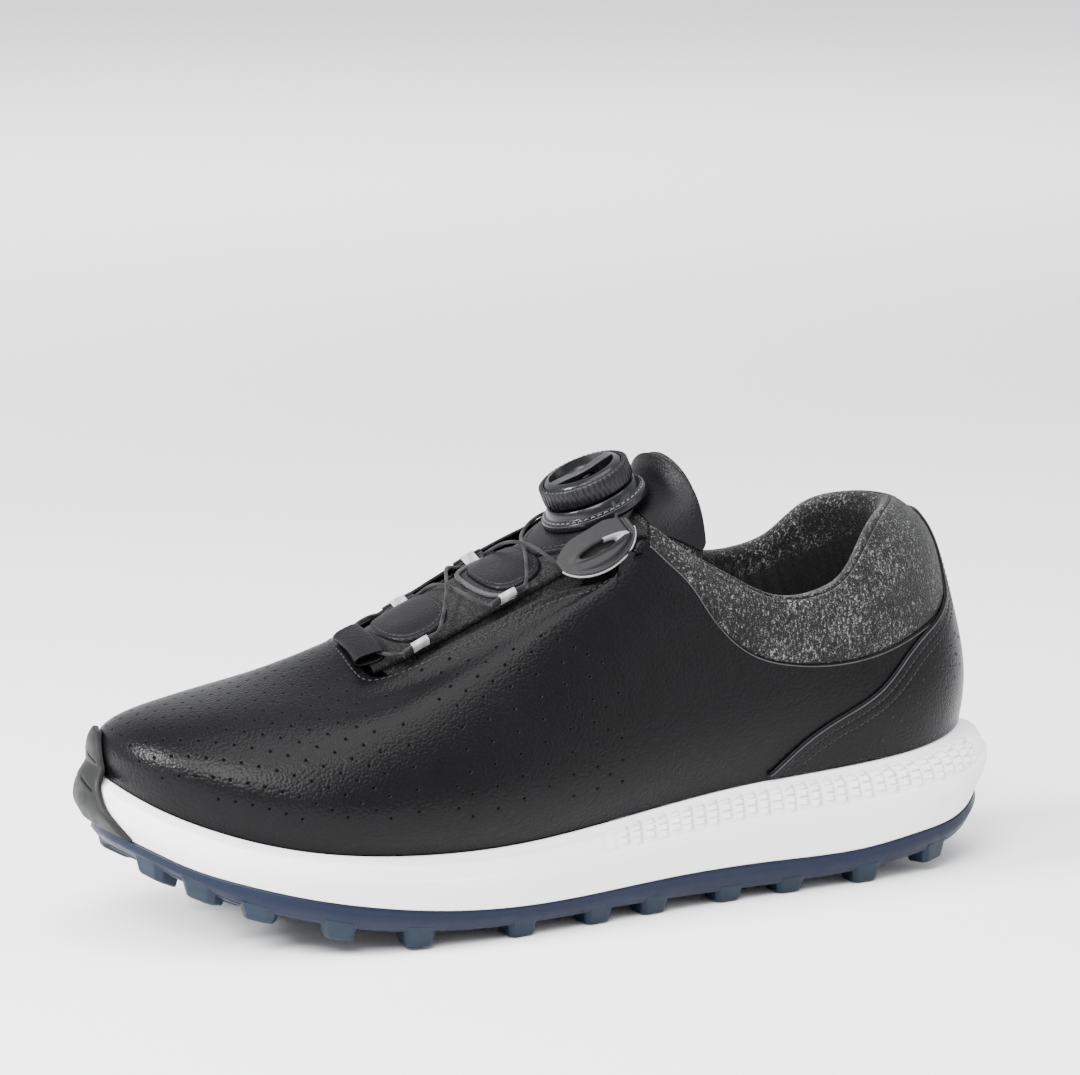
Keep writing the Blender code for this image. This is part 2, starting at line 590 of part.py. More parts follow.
def make_gusset(name, side, first, last):
    """The web between the tongue's firm part and the underside of the upper."""
    rows = []
    for k in range(9):
        share = k / 8
        s, u = .07 + .5 * share, first + (last - first) * share
        edge = tongue_skin(s, side * (half_width(s) + .03), 1)
        under = skin(u, .985, 6.6)
        back = skin(u, .93, 6.4)
        rows.append([edge, (edge + under) / 2 - (0, 0, .8), under, back])
    grid = np.array(rows).reshape(-1, 3)
    faces = grid_faces(9, 4)
    if side < 0:
        faces = [face[::-1] for face in faces]
    thicken(solid(name, grid, faces, mesh_cloth, recalculate=False), .7)


def dial_point(radius, angle, height):
    """Point in the shoe's frame from polar coordinates on the dial's seat."""
    local = Vector((radius * math.cos(angle), radius * math.sin(angle), height)) * MM
    return np.array(dial_frame() @ local) / MM


def make_dial_patch():
    """The moulded patch that fills the saddle between the tongue and the dial's flat seat."""
    count, top, bottom = 28, [], []
    seat = np.array(DIAL_SEAT)
    axis = np.array([-math.sin(math.radians(DIAL_TILT)), 0, math.cos(math.radians(DIAL_TILT))])
    for share in (0, .35, .7, .86, 1):
        for i in range(count if share else 1):
            angle = 2 * math.pi * i / count
            s = .715 + .125 * share * math.cos(angle)
            t = .93 * share * math.sin(angle)
            low = tongue_skin(s, t, -PATCH_GAP)
            high = tongue_skin(s, t, -PATCH_GAP - PATCH_THICKNESS)
            flat = high - axis * np.dot(high - seat, axis)
            blend = np.clip((1 - share) / .14, 0, 1)
            top.append(high * (1 - blend) + flat * blend)
            bottom.append(low)
    size = len(top)
    faces = []
    for first in (0, size):
        faces += [(first, first + 1 + i, first + 1 + (i + 1) % count) for i in range(count)]
        for k in range(3):
            a, b = first + 1 + k * count, first + 1 + (k + 1) * count
            faces += [(a + i, b + i, b + (i + 1) % count, a + (i + 1) % count) for i in range(count)]
    a, b = 1 + 3 * count, size + 1 + 3 * count
    faces += [(a + i, b + i, b + (i + 1) % count, a + (i + 1) % count) for i in range(count)]
    solid("dial_patch", top + bottom, faces, leather)


def make_dial():
    housing = turned("dial_base", [(0, 1.5), (13.1, 1.5), (13.1, 5.4), (14.3, 5.4), (14.5, 2.2), (16.2, 1.4),
                                   (16.2, GAP), (0, GAP)], plastic)
    for side in (-1, 1):
        hole = bpy.data.meshes.new("lace_hole")
        work = bmesh.new()
        bmesh.ops.create_cone(work, cap_ends=True, segments=10, radius1=1.1 * MM, radius2=1.1 * MM, depth=5 * MM)
        work.to_mesh(hole)
        work.free()
        cutter = place("lace_hole", hole, plastic, smooth=False)
        spot = Vector((0, side * 13.8, 3.6)) * MM
        cutter.matrix_world = dial_frame() @ Matrix.Translation(spot) @ Matrix.Rotation(math.pi / 2, 4, "X")
        boolean(housing, cutter, "DIFFERENCE")
    turned("spool", [(3.2, 5.1), (12.6, 5.1), (12.6, 4.7), (8.4, 4.5), (8.4, 2.5), (12.6, 2.3), (12.6, 1.8),
                     (3.2, 1.8)], plastic, steps=24, closed=True)
    turned("dial_stem", [(1.6, 9), (2.8, 9), (2.8, 1.9), (1.6, 1.9)], plastic, steps=16, closed=True)
    turned("drive_disc", [(4.8, 7.4), (11.9, 7.4), (11.9, 6.1), (4.8, 6.1)], plastic, steps=24, closed=True)
    knob = turned("dial_knob", [(1.7, 11.2), (2.9, 11.2), (2.9, 12.8), (9.5, 13.6), (12.1, 13.2), (12.5, 12.6),
                                (12.5, 5.9), (12.2, 5.8), (12.2, 9.6), (5, 9.6), (4.4, 9.3), (1.7, 9.3)],
                  plastic, closed=True)
    for side in (-1, 1):
        boolean(knob, crescent(side), "DIFFERENCE")
    grip_ring()
    turned("axle_screw", [(0, 12.3), (2.4, 12.3), (2.6, 11.5), (1.3, 11.5), (1.3, 3), (0, 3)], steel, steps=16)
    spring()


def crescent(side):
    """Cutter for one of the two finger recesses beside the bar across the knob."""
    work = bmesh.new()
    steps = 10
    reach, bar = 9.6, 3.1
    limit = math.acos(bar / reach)
    rim = [(reach * math.cos(a), reach * math.sin(a)) for a in np.linspace(-limit, limit, steps)]
    rim = [(side * x, y) for x, y in rim]
    low = [work.verts.new(Vector((x, y, 11.2)) * MM) for x, y in rim]
    high = [work.verts.new(Vector((x, y, 15)) * MM) for x, y in rim]
    work.faces.new(low)
    work.faces.new(high)
    for i in range(steps):
        j = (i + 1) % steps
        work.faces.new((low[i], low[j], high[j], high[i]))
    bmesh.ops.recalc_face_normals(work, faces=work.faces)
    mesh = bpy.data.meshes.new("finger_recess")
    work.to_mesh(mesh)
    work.free()
    cutter = place("finger_recess", mesh, plastic, smooth=False)
    cutter.matrix_world = dial_frame() @ Matrix.Rotation(math.radians(RECESS_TURN), 4, "Z")
    return cutter


def grip_ring():
    """The toothed grip ring round the knob."""
    count = 2 * KNOB_TEETH
    rows = [(12.8, 12.4, 0), (13.8, 12.6, 0), (KNOB_RADIUS, 11.9, .35), (KNOB_RADIUS, 7.4, .35),
            (13.9, 6.4, 0), (12.8, 6.4, 0)]
    points = []
    for i in range(count):
        tooth = 1 if i % 2 else 0
        for radius, height, depth in rows:
            points.append(dial_point(radius - depth * tooth, 2 * math.pi * i / count, height))
    size = len(rows)
    faces = []
    for i in range(count):
        after = (i + 1) % count
        for k in range(size):
            m = (k + 1) % size
            faces.append((i * size + k, i * size + m, after * size + m, after * size + k))
    solid("grip_ring", points, faces, soft_rubber)


def tube(name, points, radius, material, detail=2):
    """A round bar along points in millimetres, as a curve with filled caps."""
    curve = bpy.data.curves.new(name, "CURVE")
    curve.dimensions = "3D"
    curve.bevel_depth = radius * MM
    curve.bevel_resolution = detail
    curve.use_fill_caps = True
    line = curve.splines.new("POLY")
    line.points.add(len(points) - 1)
    for spot, point in zip(line.points, points):
        spot.co = (*(float(c) * MM for c in point), 1)
    curve.materials.append(material)
    thing = bpy.data.objects.new(name, curve)
    shoe.objects.link(thing)
    return thing


def spring():
    turns, steps = 2.5, 10
    points = []
    for i in range(int(turns * steps) + 1):
        share = i / (turns * steps)
        points.append(dial_point(3.8, 2 * math.pi * turns * share, 5.8 + 2.8 * share))
    tube("release_spring", points, .35, steel, detail=1)


def make_lace():
    route = np.array(LACE_ROUTE, float)
    length = np.concatenate([[0], np.cumsum(np.linalg.norm(np.diff(route, axis=0), axis=1))])
    points = spline(length / length[-1], route, np.linspace(0, 1, 84))
    tube("lace", points, LACE_RADIUS, cable, detail=1)


def sleeve_faces(rings, sides):
    """Quads of an open sleeve made of rings with the same number of sides."""
    return [(k * sides + i, k * sides + (i + 1) % sides, (k + 1) * sides + (i + 1) % sides, (k + 1) * sides + i)
            for k in range(rings - 1) for i in range(sides)]


def make_guides():
    """Webbing loops at the throat's edges: a short flat tube round the lace."""
    sides = 10
    for name, (centre, run) in GUIDES.items():
        centre, run = np.array(centre), np.array(run)
        forward = unit(run)
        side = unit(np.cross((0, 0, 1), forward))
        top = np.cross(forward, side)
        points = []
        for k in range(3):
            middle = centre + 0.9 * run * (k / 2 - .5)
            for i in range(sides):
                angle = 2 * math.pi * i / sides
                points.append(middle + 1.25 * math.cos(angle) * side + 1.0 * math.sin(angle) * top)
        thing = solid(name, points, sleeve_faces(3, sides), webbing)
        thicken(thing, .5, offset=1)


def make_wings():
    """The two moulded wings of the dial seat, which lead the lace off to the sides."""
    along = unit(np.array(WING_SLOPE))
    for name, (side, centre, down, half, depth, inner) in WINGS.items():
        down = unit(np.array(down))
        normal = -side * unit(np.cross(down, along))

        def at(a, b, height):
            return np.array(centre) + a * along + b * down + height * normal

        angles = np.linspace(0, math.pi, 13)
        outline = [(half * math.cos(angle), depth * math.sin(angle)) for angle in angles]
        outline += [(-half, -.2 * inner), (-.55 * half, -inner), (.45 * half, -inner), (half, -.2 * inner)]
        thing = slice_of(name, at, outline, 0, WING_THICKNESS)
        window = [(-.42 * half, .16 * depth), (.46 * half, .16 * depth), (.46 * half, .4 * depth),
                  (.24 * half, .62 * depth), (-.24 * half, .62 * depth)]
        boolean(thing, slice_of(name, at, window, -2, 5), "DIFFERENCE")


def slice_of(name, at, outline, low, high):
    """A flat piece with the given outline between two heights."""
    points = [at(a, b, low) for a, b in outline] + [at(a, b, high) for a, b in outline]
    count = len(outline)
    faces = [tuple(range(count)), tuple(range(count, 2 * count))]
    faces += [(i, (i + 1) % count, count + (i + 1) % count, count + i) for i in range(count)]
    return solid(name, points, faces, plastic)


def make_keeper():
    """The folded tab at the bottom of the throat that the lace's lowest run passes through."""
    centre = np.array([-59.4, -5.5, 83.6])
    across = unit(np.array([.02, 1, .17]))
    along = unit(np.array([.93, 0, .36]))
    top = np.cross(along, across)
    points = []
    sides = 12
    for k in range(4):
        middle = centre + across * (k / 3 - .5) * 12
        for i in range(sides):
            angle = 2 * math.pi * i / sides
            points.append(middle + 3.2 * math.cos(angle) * along + 1.25 * math.sin(angle) * top)
    thicken(solid("lace_keeper", points, sleeve_faces(4, sides), leather), .9, offset=1)


for old in list(bpy.data.objects):
    bpy.data.objects.remove(old, do_unlink=True)
shoe = bpy.data.collections.new("golf_shoe")
cutters = bpy.data.collections.new("cutters")
bpy.context.scene.collection.children.link(shoe)
bpy.context.scene.collection.children.link(cutters)

leather = new_material("black leather", (.017, .016, .018), .42)
knit = new_material("grey knit", (.09, .09, .095), .95)
mesh_cloth = new_material("black mesh cloth", (.02, .02, .022), .9)
lining_cloth = new_material("black lining", (.008, .008, .009), .95)
foam = new_material("white foam", (.85, .85, .86), .6)
rubber = new_material("blue rubber", (.02, .055, .14), .55)
dark_rubber = new_material("dark grey rubber", (.04, .042, .046), .6)
soft_rubber = new_material("black soft rubber", (.012, .012, .013), .35)
plastic = new_material("black plastic", (.012, .012, .013), .25)
webbing = new_material("black webbing", (.02, .02, .022), .8)
cable = new_material("lace cable", (.03, .03, .032), .45)
steel = new_material("steel", (.55, .55, .56), .3, 1.0)
board_fibre = new_material("fibreboard", (.35, .3, .24), .9)
insole_foam = new_material("insole foam", (.03, .03, .035), .9)

make_sole()
make_bed()
make_upper()
make_bumper()
make_collar()
make_tongue()
make_dial_patch()
make_dial()
make_guides()
make_wings()
make_keeper()
make_lace()
for thing in list(shoe.objects) + list(cutters.objects):
    thing.location += Vector(CENTRING) * MM
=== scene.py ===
"""Picture model of a left golf shoe with a dial lacing system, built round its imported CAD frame.

Shape numbers are millimetres in the shoe's own shape coordinates: +X towards the heel, -Y the outer
(lateral) side, +Z up. CENTRING moves them to the row frame, where the origin is under the box's middle.
"""
import json
import math

import bmesh
import bpy
import numpy as np
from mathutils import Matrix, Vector

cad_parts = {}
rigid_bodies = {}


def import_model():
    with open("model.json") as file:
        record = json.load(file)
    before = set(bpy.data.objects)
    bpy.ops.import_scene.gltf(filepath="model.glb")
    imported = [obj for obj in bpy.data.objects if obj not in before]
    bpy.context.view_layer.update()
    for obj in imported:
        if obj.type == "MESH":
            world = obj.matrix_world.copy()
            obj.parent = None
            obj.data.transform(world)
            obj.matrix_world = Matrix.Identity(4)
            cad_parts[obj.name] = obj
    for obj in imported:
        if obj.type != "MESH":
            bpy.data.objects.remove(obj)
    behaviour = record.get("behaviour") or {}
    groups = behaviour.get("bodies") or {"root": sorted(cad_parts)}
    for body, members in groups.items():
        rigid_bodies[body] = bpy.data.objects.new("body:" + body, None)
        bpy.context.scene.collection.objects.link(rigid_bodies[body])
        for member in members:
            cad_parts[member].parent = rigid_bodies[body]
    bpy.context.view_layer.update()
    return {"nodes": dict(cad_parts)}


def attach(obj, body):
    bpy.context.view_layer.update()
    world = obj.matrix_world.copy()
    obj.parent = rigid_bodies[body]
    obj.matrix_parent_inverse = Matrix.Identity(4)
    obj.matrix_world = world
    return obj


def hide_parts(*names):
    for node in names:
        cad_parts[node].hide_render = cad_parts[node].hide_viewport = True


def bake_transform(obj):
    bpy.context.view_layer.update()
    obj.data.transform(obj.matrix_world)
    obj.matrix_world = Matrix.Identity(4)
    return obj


MM = 0.001
CENTRING = np.array([-4.9, 1.52, 0])
GAP = 0.3

# Rings round the shoe: twenty stations from the back of the heel, along the lateral side,
# past the toe and back along the medial side.
STATIONS = [i / 20 for i in range(20)]
FEATHER = [(144, 0, 43), (135, -19, 42), (114, -30, 39.3), (84, -32.5, 36.7), (48, -35.5, 34.7),
           (8, -41, 30.6), (-32, -46.5, 27.6), (-72, -46.5, 29), (-103, -37.5, 33.8), (-127, -19, 42),
           (-136.5, 5, 48), (-129, 26.5, 43.5), (-106, 39, 35.5), (-73, 44.5, 29.3), (-34, 42.5, 27.7),
           (6, 34, 31.2), (44, 29, 34.7), (84, 30, 36.7), (114, 28.5, 39.3), (135, 17.5, 42)]
GIRTH = [(144.5, 0, 62), (136, -21, 60), (115, -32.5, 57), (84, -35, 54), (49, -38.5, 52),
         (9, -44.5, 48), (-31, -50, 45), (-72, -50, 44.5), (-105, -39.5, 48.5), (-128.5, -19.5, 55),
         (-137, 5.5, 57.5), (-129, 28, 55.5), (-107, 41, 49), (-73, 48, 45), (-33, 45, 45),
         (7, 36.5, 49), (45, 31.5, 53), (84, 32.5, 55), (115, 30.5, 57.5), (136, 19.5, 60)]
SHOULDER = [(139.5, 0, 88), (130, -19, 86), (110.5, -29.5, 80), (80, -34, 73), (47, -36, 76),
            (12, -38, 82), (-26, -39, 75), (-66, -38, 66), (-97, -29, 64), (-117, -14, 66),
            (-124.5, 4, 66.5), (-117, 19, 66), (-97, 31, 65), (-66, 36, 66.5), (-26, 35.5, 76),
            (12, 33, 84), (46, 32, 78), (80, 31.5, 75), (110.5, 27.5, 82), (130, 18, 87)]
CREST = [(132, 0, 106), (124, -16.5, 104), (105.5, -28, 94), (78, -33.5, 83), (46, -34, 91),
         (18, -33, 100), (-18, -31, 88), (-56, -28, 73.5), (-79, -20, 71.5), (-90, -8, 72.5),
         (-93, 4, 72.8), (-89, 14, 72.8), (-78, 22, 73), (-56, 26, 77), (-19, 27, 93),
         (17, 30, 104), (46, 32, 93), (78, 32.5, 86), (105.5, 26.5, 97), (124, 15, 105)]
# The top edge: collar, quarter peaks and the throat, each point led by its place round the shoe.
TOP_EDGE = [(0, 123, 0, 114.5), (.05, 115.5, -14, 113.5), (.085, 105, -23.5, 107), (.115, 95, -28.5, 96),
            (.15, 80, -32.5, 89.8), (.18, 62, -32.8, 91.5), (.21, 43, -30.5, 103), (.23, 32, -28, 111.5),
            (.245, 25, -26, 116.5), (.26, 20, -27.5, 110), (.28, 12, -29.5, 101.5), (.30, -3, -28, 98.5),
            (.33, -25, -26, 90.5), (.36, -44, -23.5, 82.5), (.385, -57, -20.5, 76.3), (.42, -62.5, -14, 77),
            (.47, -63, -5, 80.7), (.53, -62.5, 5, 82.3), (.58, -60.5, 12, 81.8), (.615, -55, 17, 82.5),
            (.64, -44, 19, 86.8), (.67, -25, 20.5, 96), (.70, -3, 22.5, 105.5), (.72, 9, 24.5, 109.5),
            (.74, 17, 26, 113), (.755, 24, 27, 115.5), (.77, 32, 29, 111.5), (.79, 43, 31.5, 105),
            (.82, 62, 33.5, 94.5), (.85, 80, 33, 92.8), (.885, 95, 29, 98.5), (.915, 105, 24, 108.5),
            (.95, 115.5, 14, 114)]
RING_HEIGHTS = [0, .22, .5, .78, 1]

# Sole outlines (widest line of the sidewall, and its bottom edge) and the sole's side profile.
SIDEWALL = [(153, -2), (145, -23), (121, -35.5), (86, -38.5), (48, -41), (8, -46.5), (-32, -52),
            (-72, -52), (-106, -42.5), (-130.5, -22), (-141, 5), (-133.5, 30), (-110, 44.5), (-74, 49.5),
            (-34, 48), (6, 39), (44, 34), (84, 35.5), (120, 34), (144.5, 21)]
TREAD_EDGE = [(149, -2), (141.5, -21.5), (119, -33.5), (85, -37), (48, -39.5), (8, -45), (-32, -50.5),
              (-72, -50.5), (-104, -41), (-127.5, -21), (-138, 5), (-130.5, 28.5), (-108, 43), (-74, 48),
              (-34, 46.5), (6, 37.5), (44, 32.5), (83, 34), (118, 32.5), (141, 19.5)]
SOLE_JOINT = [(-139, 34), (-130, 29.7), (-123, 26.4), (-111, 22.6), (-95, 18.6), (-77, 15), (-55, 11.7),
              (-36, 10), (-14, 9.5), (26, 10.8), (66, 10.9), (96, 11.3), (117, 13.9), (139, 18.5), (149, 24)]
PLATE_BOTTOM = [(-139, 29), (-128, 24.2), (-120, 20.5), (-111, 16.4), (-92, 11), (-77, 7.8), (-62, 5.8),
                (-36, 4), (6, 4), (40, 3.6), (77, 3.4), (107, 5.4), (120, 7.2), (135, 10.5), (148, 17)]
GROUND_LINE = [(-137, 25), (-129.5, 21), (-122, 17.2), (-108, 11.8), (-83, 5), (-62, 1.2), (-44, 0),
               (30, 0), (97, 0), (112, 1.4), (130, 4.6), (142, 9)]

# Thickness of the leather, depth of the lining and thickness of its turned edge.
LEATHER = 1.5
LINING_DEPTH = 3.85
LINING_EDGE = .7
# Height shares where the leather, and the lining and heel panel, start above the sole.
FOOT = .004
LOW_EDGE = .012

# Seam between leather and knit collar: height share against distance round from the heel.
COLLAR_SEAM = [(0, .46), (.05, .44), (.08, .43), (.10, .42), (.125, .415), (.15, .44), (.17, .475),
               (.185, .515), (.195, .575), (.205, .68), (.215, .80), (.23, .88), (.245, .93), (.26, .98)]
OVERLAY_EDGE = [(0, .86), (.012, .855), (.022, .80), (.03, .64), (.038, .52), (.05, .465), (.065, .44),
                (.088, .41), (.103, .37), (.123, .28), (.147, .205), (.167, .12), (.18, .03)]

# The toe bumper: its middle and, row by row from the bottom, its half-width, both as shares of a
# turn; the rows' heights as shares of the sidewall's height and then of the upper's.
BUMPER_MIDDLE = .515
BUMPER_HALF = [.047, .039, .033, .026, .0235, .022, .018, .009]
BUMPER_SOLE = [.06, .45, .62, .92]
BUMPER_TOP = [.07, .14, .22, .29]

# The tongue: eight cross rows from the throat to its top edge, five points in each.
TONGUE_ROWS = [
    [(-59, -17, 75.8), (-60.5, -9, 79.8), (-61, 0, 81), (-60, 8, 81.1), (-58, 14, 80)],
    [(-41, -20, 83), (-42, -11, 87.3), (-42, -1, 88.8), (-41.5, 9, 88.9), (-39.5, 16, 87)],
    [(-18, -20.5, 93.6), (-19, -12, 97), (-19, -1, 98.5), (-18.5, 10, 98.7), (-17, 17.5, 97)],
    [(4.5, -20, 103.6), (3, -11.5, 106.6), (2.5, -.5, 107.6), (3, 11, 107.5), (4.5, 18.5, 105.8)],
    [(21.5, -20, 112.2), (20.3, -11.5, 114.6), (20, 0, 115.1), (20.3, 11.5, 114.7), (21.5, 19.5, 112.4)],
    [(36, -20.5, 110), (34.5, -12.5, 117), (34, 0, 119.2), (34.5, 12, 117), (36, 20.5, 110)],
    [(43.5, -21, 107), (42, -13.5, 119.5), (39, 1, 125.5), (38, 14, 120.3), (41.5, 21.5, 107.3)],
    [(47, -20.5, 104.8), (46.5, -13.5, 124), (40.5, 1.5, 133.2), (40.5, 15.5, 125), (44, 21.5, 105.2)]]
TONGUE_LENGTHS = [0, .17, .38, .59, .745, .855, .93, 1]
TONGUE_WIDTHS = [-1, -.5, 0, .5, 1]
# The tongue's patches: power that squares their outline, and the place of their stitches.
PATCH_CORNER = 2 / 2.6
PATCH_SEAM = .86

# The dial: its seat on the tongue and the tilt of its axis.
DIAL_SEAT = (20.5, 0, 117.6)
DIAL_TILT = math.radians(23)
DIAL_AXIS = np.array([-math.sin(DIAL_TILT), 0, math.cos(DIAL_TILT)])
KNOB_RADIUS = 14.4
KNOB_TEETH = 26
RECESS_TURN = math.radians(-87)
# Wings of the dial's seat: side, centre, direction down the side, half-length, depth, inner rim.
WINGS = {"top_guide_lateral": (-1, (8.6, -24, 110.3), (.35, -.62, -.71), 13.6, 9, 5),
         "top_guide_medial": (1, (19.4, 21.8, 118.8), (.24, .84, -.49), 6.2, 5.2, 5.4)}
WING_SLOPE = (.898, 0, .44)

# Lace: one cable from the spool, down through the guides to the keeper and back up.
LACE_RADIUS = .56
LACE_ROUTE = [
    (19.1, -9.8, 120.9), (19.1, -15.6, 120.8), (17.6, -21.3, 120.4), (13.5, -25.9, 116.6), (12.8, -27.8, 113),
    (9.9, -26.7, 109.1), (6.1, -24.4, 105.8), (1.4, -22.8, 104.6), (-3.5, -13, 107.6), (-6, -3, 109.2),
    (-8, 10, 106.2),
    (-10.5, 17.4, 103.3), (-13.75, 17.25, 101.95), (-17, 17.1, 100.6),
    (-22.5, 13, 100.2), (-30.5, -3, 99), (-37.5, -16, 90.6),
    (-42.5, -20.3, 86), (-46.75, -20.15, 84.15), (-51, -20, 82.3),
    (-56, -16.2, 81.7), (-58.9, -10, 82.8), (-59.4, -3, 84.1), (-58, 4, 85.4), (-53, 11, 86.2),
    (-47, 14.6, 87),
    (-41.5, 15.4, 88.9), (-37.75, 15.6, 90.55), (-34, 15.8, 92.2),
    (-31, 8, 96), (-29.5, -3, 97.4), (-27, -16, 95.6),
    (-23.6, -22, 94.8), (-19.55, -22.5, 96.55), (-15.5, -23, 98.3),
    (-10.5, -17, 102.6), (-5.8, -5, 107), (-1, 8, 107.8), (4, 18, 108.4),
    (9.5, 22.8, 110.9), (13.4, 23.3, 112.6), (16.5, 23.4, 114), (17.5, 24.2, 117.3), (16.8, 24.8, 119.8),
    (16.3, 23.1, 121.5), (17.5, 19.6, 121.6), (19.1, 15.6, 120.8), (19.1, 9.8, 120.9)]


def spline(knots, values, x, closed=False):
    """Cubic spline through the values at the knots; a closed one has period 1."""
    knots = np.asarray(knots, float)
    values = np.asarray(values, float)
    x = np.asarray(x, float)
    count = len(knots)
    system = np.zeros((count, count))
    right = np.zeros(values.shape)
    if closed:
        step = np.diff(np.append(knots, knots[0] + 1))
        x = (x - knots[0]) % 1 + knots[0]
        inner = range(count)
    else:
        step = np.diff(knots)
        inner = range(1, count - 1)
        for end, beside in ((0, 1), (count - 1, count - 2)):
            system[end, end], system[end, beside] = 2, 1
            right[end] = 3 * (values[beside] - values[end]) / (knots[beside] - knots[end])
    for i in inner:
        before, after, j = step[i - 1], step[i], (i + 1) % count
        system[i, i - 1] += after
        system[i, i] += 2 * (before + after)
        system[i, j] += before
        right[i] = 3 * (after * (values[i] - values[i - 1]) / before
                        + before * (values[j] - values[i]) / after)
    slope = np.linalg.solve(system, right.reshape(count, -1)).reshape(values.shape)
    i = np.clip(np.searchsorted(knots, x, side="right") - 1, 0, len(step) - 1)
    j = (i + 1) % count
    shape = x.shape + (1,) * (values.ndim - 1)
    h = step[i].reshape(shape)
    t = ((x - knots[i]) / step[i]).reshape(shape)
    return ((2 * t**3 - 3 * t**2 + 1) * values[i] + (t**3 - 2 * t**2 + t) * h * slope[i]
            + (3 * t**2 - 2 * t**3) * values[j] + (t**3 - t**2) * h * slope[j])


def unit(vectors):
    """The same directions at length 1."""
    return vectors / np.linalg.norm(vectors, axis=-1, keepdims=True)


def clamp(x):
    """Values held between 0 and 1."""
    return np.clip(x, 0, 1)


def ease(x):
    """Smooth step of a share from 0 to 1."""
    return x * x * (3 - 2 * x)


def bell(x, middle, width):
    """A smooth bump of height 1 round a middle."""
    return np.exp(-((x - middle) / width) ** 2)


def round_over(x):
    """Height of a rounded edge, from 0 at its rim to 1 at its full height."""
    return np.sqrt(clamp(1 - (1 - clamp(x)) ** 2))


def length_along(line):
    """Distance from a line's start to each of its points."""
    return np.concatenate([[0], np.cumsum(np.linalg.norm(np.diff(line, axis=0), axis=1))])


def turns_of(count):
    """Equal angles round a full turn."""
    return 2 * math.pi * np.arange(count) / count


def squared(values, power):
    """Sines or cosines that draw a round-cornered square instead of a circle."""
    return np.sign(values) * np.abs(values) ** power


def around(ring, u):
    """Points of a closed ring of twenty stations."""
    return spline(STATIONS, ring, u, closed=True)


def profile(line, x):
    """Height at x of a profile, a list of (x, height), level beyond its ends."""
    places, heights = zip(*line)
    return spline(places, heights, np.clip(x, places[0], places[-1]))


def upper_point(u, v):
    """Point of the upper's outer face: u runs round the shoe, v from the sole to the top edge."""
    u, v = np.broadcast_arrays(np.asarray(u, float), np.asarray(v, float))
    rings = [around(ring, u) for ring in (FEATHER, GIRTH, SHOULDER, CREST)]
    top = np.array(TOP_EDGE)
    rings.append(spline(top[:, 0], top[:, 1:], u, closed=True))
    share = spline(RING_HEIGHTS, np.eye(5), v)
    return sum(share[..., k, None] * rings[k] for k in range(5))


def slopes(u, v, e):
    """How a point of the upper's outer face moves with u and with v, over a step of e each way."""
    return ((upper_point(u + e, v) - upper_point(u - e, v)) / (2 * e),
            (upper_point(u, v + e) - upper_point(u, v - e)) / (2 * e))


def upper_normal(u, v):
    """Unit normals of the upper's outer face."""
    along, up = slopes(u, v, .002)
    return unit(np.cross(up, along))


def skin(u, v, depth=0):
    """Point at a depth below the upper's outer face, measured square to it."""
    return upper_point(u, v) - np.asarray(depth)[..., None] * upper_normal(u, v)


def from_heel(u):
    """Distance round the shoe from the back of the heel, the same on both sides."""
    u = np.asarray(u, float) % 1
    return np.minimum(u, 1 - u)


def seam_height(u):
    """Height share of the leather's top edge."""
    a = from_heel(u)
    return np.where(a < COLLAR_SEAM[-1][0], profile(COLLAR_SEAM, a), 1.0)


def tongue_point(s, t):
    """Point of the tongue's outer face: s from the throat to the top, t across from the lateral edge."""
    s, t = np.broadcast_arrays(np.asarray(s, float), np.asarray(t, float))
    rows = np.array(TONGUE_ROWS, float)
    along = spline(TONGUE_LENGTHS, rows, s)
    across = spline(TONGUE_WIDTHS, np.eye(5), t)
    return np.einsum("...kd,...k->...d", along, across)


def tongue_skin(s, t, depth=0):
    """Point at a depth below the tongue's outer face, measured square to it."""
    e = 0.004
    along = tongue_point(s + e, t) - tongue_point(s - e, t)
    across = tongue_point(s, t + e) - tongue_point(s, t - e)
    return tongue_point(s, t) - np.asarray(depth)[..., None] * unit(np.cross(along, across))


# ---- finishes

